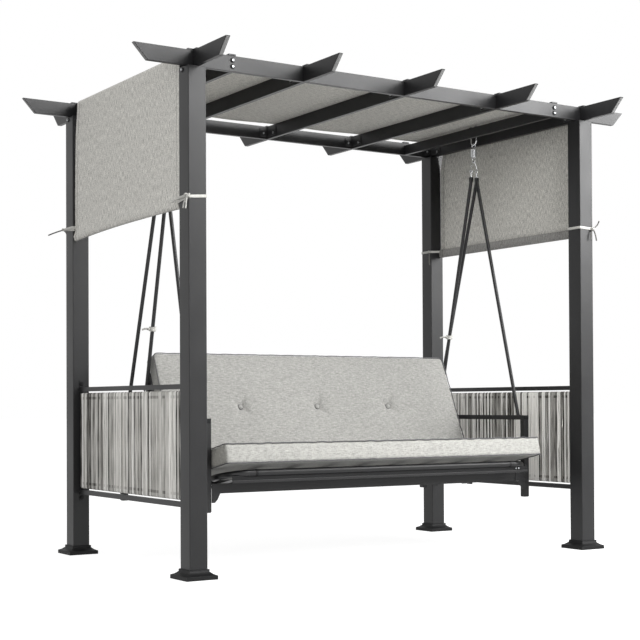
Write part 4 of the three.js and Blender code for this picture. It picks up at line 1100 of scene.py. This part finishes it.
def bent_tube(name, half_width, open_y, bight_y, bend, radius, finish):
    """A round tube in its own plane: a ring drawn along one side, spun round both bends."""
    toward = math.copysign(1, bight_y - open_y)
    centre_y = bight_y - toward * bend
    choose_nothing()
    bpy.ops.mesh.primitive_circle_add(
        vertices=20, radius=radius, location=(-half_width, open_y, 0), rotation=(math.pi / 2, 0, 0)
    )
    tube = begin(name)
    choose_all()
    pull_out(0, centre_y - open_y, 0)
    for i, x in enumerate((-half_width + bend, half_width - bend)):
        if i:
            pull_out(2 * (half_width - bend), 0, 0)
        bpy.ops.mesh.spin(steps=12, angle=toward * math.pi / 2, center=(x, centre_y, 0), axis=(0, 0, 1))
    pull_out(0, open_y - centre_y, 0)
    choose_all()
    bpy.ops.mesh.remove_doubles(threshold=0.00005)
    face_out()
    bpy.ops.object.mode_set(mode="OBJECT")
    finish_with(tube, "SOLIDIFY", thickness=0.0015, offset=-1)
    return done(tube, finish, 40)


def flat_bar(name, low, high, finish, rounding=0.0008):
    """A flat bar between two corners, its long edges rounded."""
    low, high = Vector(low), Vector(high)
    choose_nothing()
    bpy.ops.mesh.primitive_cube_add(size=1, location=(low + high) / 2, scale=high - low)
    bar = begin(name)
    choose_all()
    blunt_edges(rounding)
    done(bar, finish)
    even_faces(bar)
    return bar


def slats(name, half_width, low, high):
    """Eight flat slats, 44 mm wide, between two places along the plane and through its thickness."""
    bars = []
    for i in range(8):
        x = -half_width + (i + 1) * 2 * half_width / 9
        bars.append(flat_bar(f"{name}_{i}", (x - 0.022, *low), (x + 0.022, *high), charcoal))
    return bars


def leaning_plane(origin, degrees):
    """A plane whose second axis rises at so many degrees and whose third is its upper side."""
    slope = math.radians(degrees)
    up_plane = Vector((0, math.cos(slope), math.sin(slope)))
    off_plane = Vector((0, -math.sin(slope), math.cos(slope)))
    matrix = Matrix((up_plane.cross(off_plane), up_plane, off_plane)).transposed().to_4x4()
    matrix.translation = origin
    return matrix


seat_slope, back_slope = -12, 90 - 23
tube_y, tube_z = -0.450, 0.404
hinge_y, hinge_z = 0.040, 0.2998
lip_end = 0.804
seat_parts = [bent_tube("seat_tube", 0.828, 0.478, 0, 0.118, 0.014, semi_gloss)]
# The bends came out glossier; the straight front is satin, as the rest is.
seat_parts[0].data.materials.append(charcoal)
for face in seat_parts[0].data.polygons:
    face.material_index = int(abs(face.center.x) < 0.69 or face.center.y > 0.13)
seat_parts.append(flat_bar("seat_cross", (-0.826, 0.434, 0.0070), (0.826, 0.470, 0.0115), charcoal))
seat_parts += slats("seat_slat", 0.828, (0.002, 0.011), (0.470, 0.014))
for part in seat_parts:
    part.data.transform(leaning_plane((0, tube_y, tube_z), seat_slope))
# The lip is a steel edge with a black strip above it, painted shadow for the shade under the tube.
seat_parts += [
    flat_bar("deck_lip", (-lip_end, -0.4525, 0.3635), (lip_end, -0.4475, 0.3745), charcoal, 0.0015),
    flat_bar("lip_painted_shadow", (-lip_end, -0.4500, 0.3745), (lip_end, -0.4470, 0.3930), black),
]
smaller = to_front @ Matrix.Scale(0.7, 4)
seat_parts += bolts_at("lip_bolt", [(x, -0.4500, 0.3825) for x in (0.731, 0.747)], smaller)
for sign in (-1, 1):
    near, far = (sign * 0.6955, tube_y, tube_z), (sign * 0.6855, tube_y, tube_z)
    seat_parts.append(round_tube(f"tube_sleeve_{sign}", near, far, 0.0144, black))
    choose_nothing()
    bpy.ops.mesh.primitive_cylinder_add(
        vertices=24,
        radius=0.014,
        depth=0.006,
        location=(sign * 0.842, hinge_y, hinge_z),
        rotation=(0, math.pi / 2, 0),
    )
    lug = begin(f"lug_{sign}")
    choose(lug, lambda point, middle: middle.y < hinge_y - 0.004, "VERT")
    shift(0, -0.050, 0.0106)
    seat_parts.append(done(lug, charcoal))
welded("seat_frame_welded", seat_parts, "swing", "seat_frame")

# Backrest frame
# The same build in 25 mm tube: bent over the top, slats down to a cross bar, and a boss at the
# foot of each side that turns on the hinge pin.
back_parts = [bent_tube("back_tube", 0.826, 0.0075, 0.6245, 0.110, 0.0125, charcoal)]
back_parts.append(flat_bar("back_cross", (-0.824, 0.030, 0.0045), (0.824, 0.066, 0.0090), charcoal))
back_parts += slats("back_slat", 0.826, (0.040, 0.0085), (0.6225, 0.0115))
for part in back_parts:
    part.data.transform(leaning_plane((0, hinge_y, hinge_z), back_slope))
for sign in (-1, 1):
    inner, outer = (sign * 0.8145, hinge_y, hinge_z), (sign * 0.8375, hinge_y, hinge_z)
    back_parts.append(round_tube(f"boss_{sign}", inner, outer, 0.015, charcoal))
welded("backrest_frame_welded", back_parts, "backrest", "backrest_frame")

# Hinge pins
# Turned steel pins, zinc plated, from the boss through the lug to the plate of the arm frame.
for side in sides:
    coated_copy(f"hinge_pin_{side}", "swing", zinc, 0.0005, 0.5)
drop(bolt)

# Cushion cloth and piping
# Woven from heathered grey polyester yarn, matt and slightly fuzzy. The piping is a cord in a
# bias strip, drawn dark grey as painted shade for the thin shadow lines along the seams.
cover, tree, shader = new_finish(
    "woven_polyester_heather", {"Roughness": 0.95, "Sheen Weight": 0.2, "Sheen Roughness": 0.5}
)
place = add_node(tree, "TexCoord").outputs["Object"]
# Weft slubs are 19 mm long (52 to the metre) and 1 mm thick, drawn at 4.3 mm (230); warp slubs are
# shorter and fainter.
weft_place = add_node(tree, "Mapping", {"Vector": place, "Scale": (52.0, 230.0, 230.0)})
weft = add_node(tree, "TexNoise", {"Vector": weft_place, "Scale": 1.0, "Detail": 2.0, "Roughness": 0.6})
warp_place = add_node(tree, "Mapping", {"Vector": place, "Scale": (190.0, 90.0, 90.0)})
warp = add_node(tree, "TexNoise", {"Vector": warp_place, "Scale": 1.0, "Detail": 2.0, "Roughness": 0.6})
yarn = add_node(tree, "Math", {0: warp, 1: 0.5, 2: weft}, operation="MULTIPLY_ADD")
share = add_node(tree, "MapRange", {"Value": yarn, "From Min": 0.42, "From Max": 1.08})
heather = add_node(
    tree, "Mix", {0: share, mix_a: "#83837f", mix_b: "#b9b8b3"}, data_type="RGBA", name="tone"
)
# Lone dark fibres, 2 mm long, drawn at 3.5 mm.
fibre = add_node(tree, "TexNoise", {"Vector": place, "Scale": 1 / 0.0035, "Detail": 1.0})
dark_fibre = add_node(
    tree,
    "MapRange",
    {"Value": fibre, "From Min": 0.62, "From Max": 0.72, "To Min": 0.0, "To Max": 0.22},
)
tone = add_node(tree, "Mix", {0: dark_fibre, mix_a: heather, mix_b: "#6b6b69"}, data_type="RGBA")
dent = add_node(tree, "Bump", {"Height": yarn, "Strength": 0.35, "Distance": 0.0008})
join_up(tree, shader, {"Base Color": tone, "Normal": dent})
# Threads of 1 mm, drawn at 2 mm.
# Painted shade: this dark grey stands for the shadow lines along the seams and round the buttons.
cord_cloth_painted_shade = grained_finish("bias_cord_painted_shade", 0.002, "#454546", "#68686a", {"Roughness": 0.9})


def boxed_cushion(name, half_width, depth, boxing, crown, belly, buttons, cap, seed):
    """A foam slab in a boxed cover: drawn flat on its lower face, then swelled by simulation.
    Returns the piece and its two seam loops."""
    cell, corner, rows = 0.0135, 0.008, 6
    choose_nothing()
    bpy.ops.mesh.primitive_grid_add(
        x_subdivisions=round(2 * half_width / cell), y_subdivisions=round(depth / cell), size=1
    )
    bpy.context.object.scale = (2 * half_width, depth, 1)
    bpy.context.object.location = (0, depth / 2, 0)
    piece = begin(name)
    choose_all()
    for i in range(rows):
        pull_out(0, 0, boxing / rows)
    face_out()
    bpy.ops.object.mode_set(mode="OBJECT")

    chance = Random(seed)
    waves = [(chance.uniform(8, 34), chance.uniform(0, 6), chance.uniform(-1, 1)) for i in range(9)]
    points = piece.data.vertices
    held = piece.vertex_groups.new(name="held")
    border = {}
    for point in points:
        x, y, z = point.co
        u, v = x / half_width, 2 * y / depth - 1
        on_side = abs(u) > 0.9999 or abs(v) > 0.9999
        on_top, on_base = z > boxing - 1e-5, z < 1e-5
        if on_side and (on_base or on_top):
            border[point.index] = (u, v, z)
        # Corners are rounded, and both faces are crowned.
        corner_x = max(0, abs(x) - (half_width - corner))
        corner_y = max(0, abs(y - depth / 2) - (depth / 2 - corner))
        if corner_x > 0 and corner_y > 0:
            shrink = max(corner_x, corner_y) / math.hypot(corner_x, corner_y)
            x = math.copysign(half_width - corner + corner_x * shrink, x)
            y = depth / 2 + math.copysign(depth / 2 - corner + corner_y * shrink, y - depth / 2)
        swell = (1 - abs(u) ** 8) * (1 - abs(v) ** 5)
        pucker = sum(size * math.sin(rate * (x + y) * 6 + start) for rate, start, size in waves)
        if on_top:
            z += crown * 0.5 * swell + 0.0007 * pucker * (1 - swell)
        elif on_base:
            z -= belly * swell
            held.add([point.index], 1.0 if swell > 0.6 else 0.6, "REPLACE")
        if point.index in border:
            z += 0.0006 * pucker
            held.add([point.index], 1.0, "REPLACE")
        elif on_side:
            bulge = math.sin(math.pi * z / boxing)
            y += math.copysign(0.002 + 0.0008 * pucker, v) * bulge * (abs(v) > 0.9999)
        point.co = (x, y, z)
    start = [point.co.copy() for point in points]

    cloth = piece.modifiers.new("cover", "CLOTH")
    settings = cloth.settings
    settings.quality = 6
    settings.mass = 0.25
    settings.tension_stiffness = settings.compression_stiffness = 28
    settings.shear_stiffness = 14
    settings.bending_stiffness = 1.2
    settings.use_pressure = True
    settings.uniform_pressure_force = 3.0
    settings.effector_weights.gravity = 0
    settings.vertex_group_mass = "held"
    cloth.collision_settings.use_collision = False
    for number in range(1, 21):
        bpy.context.scene.frame_set(number)
    graph = bpy.context.evaluated_depsgraph_get()
    swelled = [point.co.copy() for point in piece.evaluated_get(graph).data.vertices]
    piece.modifiers.remove(cloth)
    bpy.context.scene.frame_set(1)
    for point, before, after in zip(points, start, swelled):
        step = after - before
        if step.length > cap:
            step *= cap / step.length
        point.co = before + step
    loops = []
    for upper in (False, True):
        on_loop = [i for i, (u, v, z) in border.items() if (z > boxing / 2) == upper]
        on_loop.sort(
            key=lambda i: math.atan2(start[i].y - depth / 2, start[i].x * depth / half_width / 2)
        )
        loops.append([points[i].co.copy() for i in on_loop])
    make_active(piece)
    finish_with(piece, "SUBSURF", levels=1, render_levels=1)
    # Each button pulls the face in to a dimple, with creases that run out from it.
    for point in piece.data.vertices:
        for button_x, button_y in buttons:
            x, y = point.co.x - button_x, point.co.y - button_y
            away = math.hypot(x, y)
            if point.co.z > boxing * 0.6 and away < 0.14:
                pull = 0.010 * math.exp(-((away / 0.050) ** 2))
                pull += 0.011 * math.exp(-((away / 0.022) ** 2))
                bearing = math.atan2(y, x)
                for ray, size in ((1.15, 1.0), (-0.75, 0.9), (2.6, 0.5), (-2.2, 0.6)):
                    turn = math.remainder(bearing - ray, 2 * math.pi)
                    crease = math.exp(-((turn * away / 0.0075) ** 2)) * (abs(turn) < 1.5)
                    pull += 0.0075 * size * crease * math.exp(-((away - 0.030) / 0.028) ** 2)
                point.co.z -= pull
    return done(piece, cover, 60), loops


def piping_on(name, loop, plane, outward):
    """A cord sewn into the seam: it follows the loop and stands half out of it."""
    centre = sum(loop, Vector()) / len(loop)
    smooth = []
    for i, point in enumerate(loop):
        before, after = loop[i - 1], loop[(i + 1) % len(loop)]
        mean = point * 0.5 + (before + after) * 0.25
        away = Vector((mean.x - centre.x, mean.y - centre.y, 0))
        side = Vector((after.y - before.y, before.x - after.x, 0)).normalized()
        if side.dot(away) < 0:
            side.negate()
        smooth.append(plane @ (mean + side * 0.0012 + Vector((0, 0, outward * 0.0008))))
    return wire_along(name, smooth, 0.0025, cord_cloth_painted_shade, closed=True)


def lay_down(cushion, loops, plane, body, node, short_name):
    """Puts a cushion and its piping on its frame."""
    cushion.data.transform(plane)
    fit(cushion, body, node)
    for i, loop in enumerate(loops):
        piping = piping_on(f"{short_name}_piping_{i + 1}", loop, plane, 1 if i else -1)
        fit(piping, body)


# Seat cushion
# One long slab lies on the slats and hangs a little over the front tube. It fills the width
# between the arms and swells past them at its free front corners.
seat_boxing = 0.079
top_edge = Vector((0, -0.475, 0.526))
seat_lie = leaning_plane(top_edge, seat_slope)
seat_lie.translation = seat_lie @ Vector((0, 0, -seat_boxing))
seat_cushion, seat_loops = boxed_cushion(
    "seat_cushion_cover", 0.8545, 0.466, seat_boxing, 0.018, 0.0035, [], 0.010, 3
)
lay_down(seat_cushion, seat_loops, seat_lie, "swing", "seat_cushion", "seat")

# Back cushion
# A second slab is tied to the backrest. Three covered buttons are drawn through it and pull
# its front face in. Its cloth is a darker copy of the seat's: painted shade, as the back lies
# deeper in shade.
back_lie = leaning_plane((0, hinge_y, hinge_z), back_slope)
back_lie.translation = back_lie @ Vector((0, 0.101, 0.0128))
button_spots = [(-0.428, 0.274), (-0.006, 0.274), (0.410, 0.276)]
back_cover_painted_shade = recoloured(cover, "woven_polyester_heather_painted_shade", "#757572", "#a8a7a3")
back_cushion, back_loops = boxed_cushion(
    "back_cushion_cover", 0.828, 0.539, 0.066, 0.010, 0.0, button_spots, 0.008, 5
)
front_points = [point.co.copy() for point in back_cushion.data.vertices if point.co.z > 0.04]
button_places = [
    min(front_points, key=lambda place: math.hypot(place.x - x, place.y - y)) for x, y in button_spots
]
back_cushion.data.materials[0] = back_cover_painted_shade
lay_down(back_cushion, back_loops, back_lie, "backrest", "back_cushion", "back")

button_radius, button_depth, button_stand = 0.0115, 0.008, 0.0066
choose_nothing()
bpy.ops.mesh.primitive_cylinder_add(vertices=24, radius=button_radius, depth=button_depth)
button = begin("button")
choose(button, faces_up)
for step in range(3):
    bpy.ops.mesh.inset(thickness=0.0026)
    shift(0, 0, 0.0016 - 0.0005 * step)


def on_rim(edge, middle):
    level = abs(edge.verts[0].co.z - edge.verts[1].co.z) < 0.001
    return level and abs(math.hypot(middle.x, middle.y) - 0.0114) < 0.0003


choose(button, on_rim, "EDGE")
blunt_edges(0.0012)
done(button, back_cover_painted_shade, 50)
# The dark rim round each button is painted shade for the shade at the button's edge.
rim_turn = arc((0, 0, 0.0005), 0.0122, 0, 345, 23, (1, 0, 0), (0, 1, 0))
rim = wire_along("button_rim", rim_turn, 0.0021, cord_cloth_painted_shade, closed=True)
buttons = []
for i, place in enumerate(button_places):
    at_dimple = moved(place.x, place.y, place.z + button_stand)
    buttons += [
        copy_to(button, f"button_{i}", back_lie, at_dimple),
        copy_to(rim, f"rim_{i}", back_lie, at_dimple),
    ]
drop(button, rim)
welded("back_cushion_buttons", buttons, "backrest")
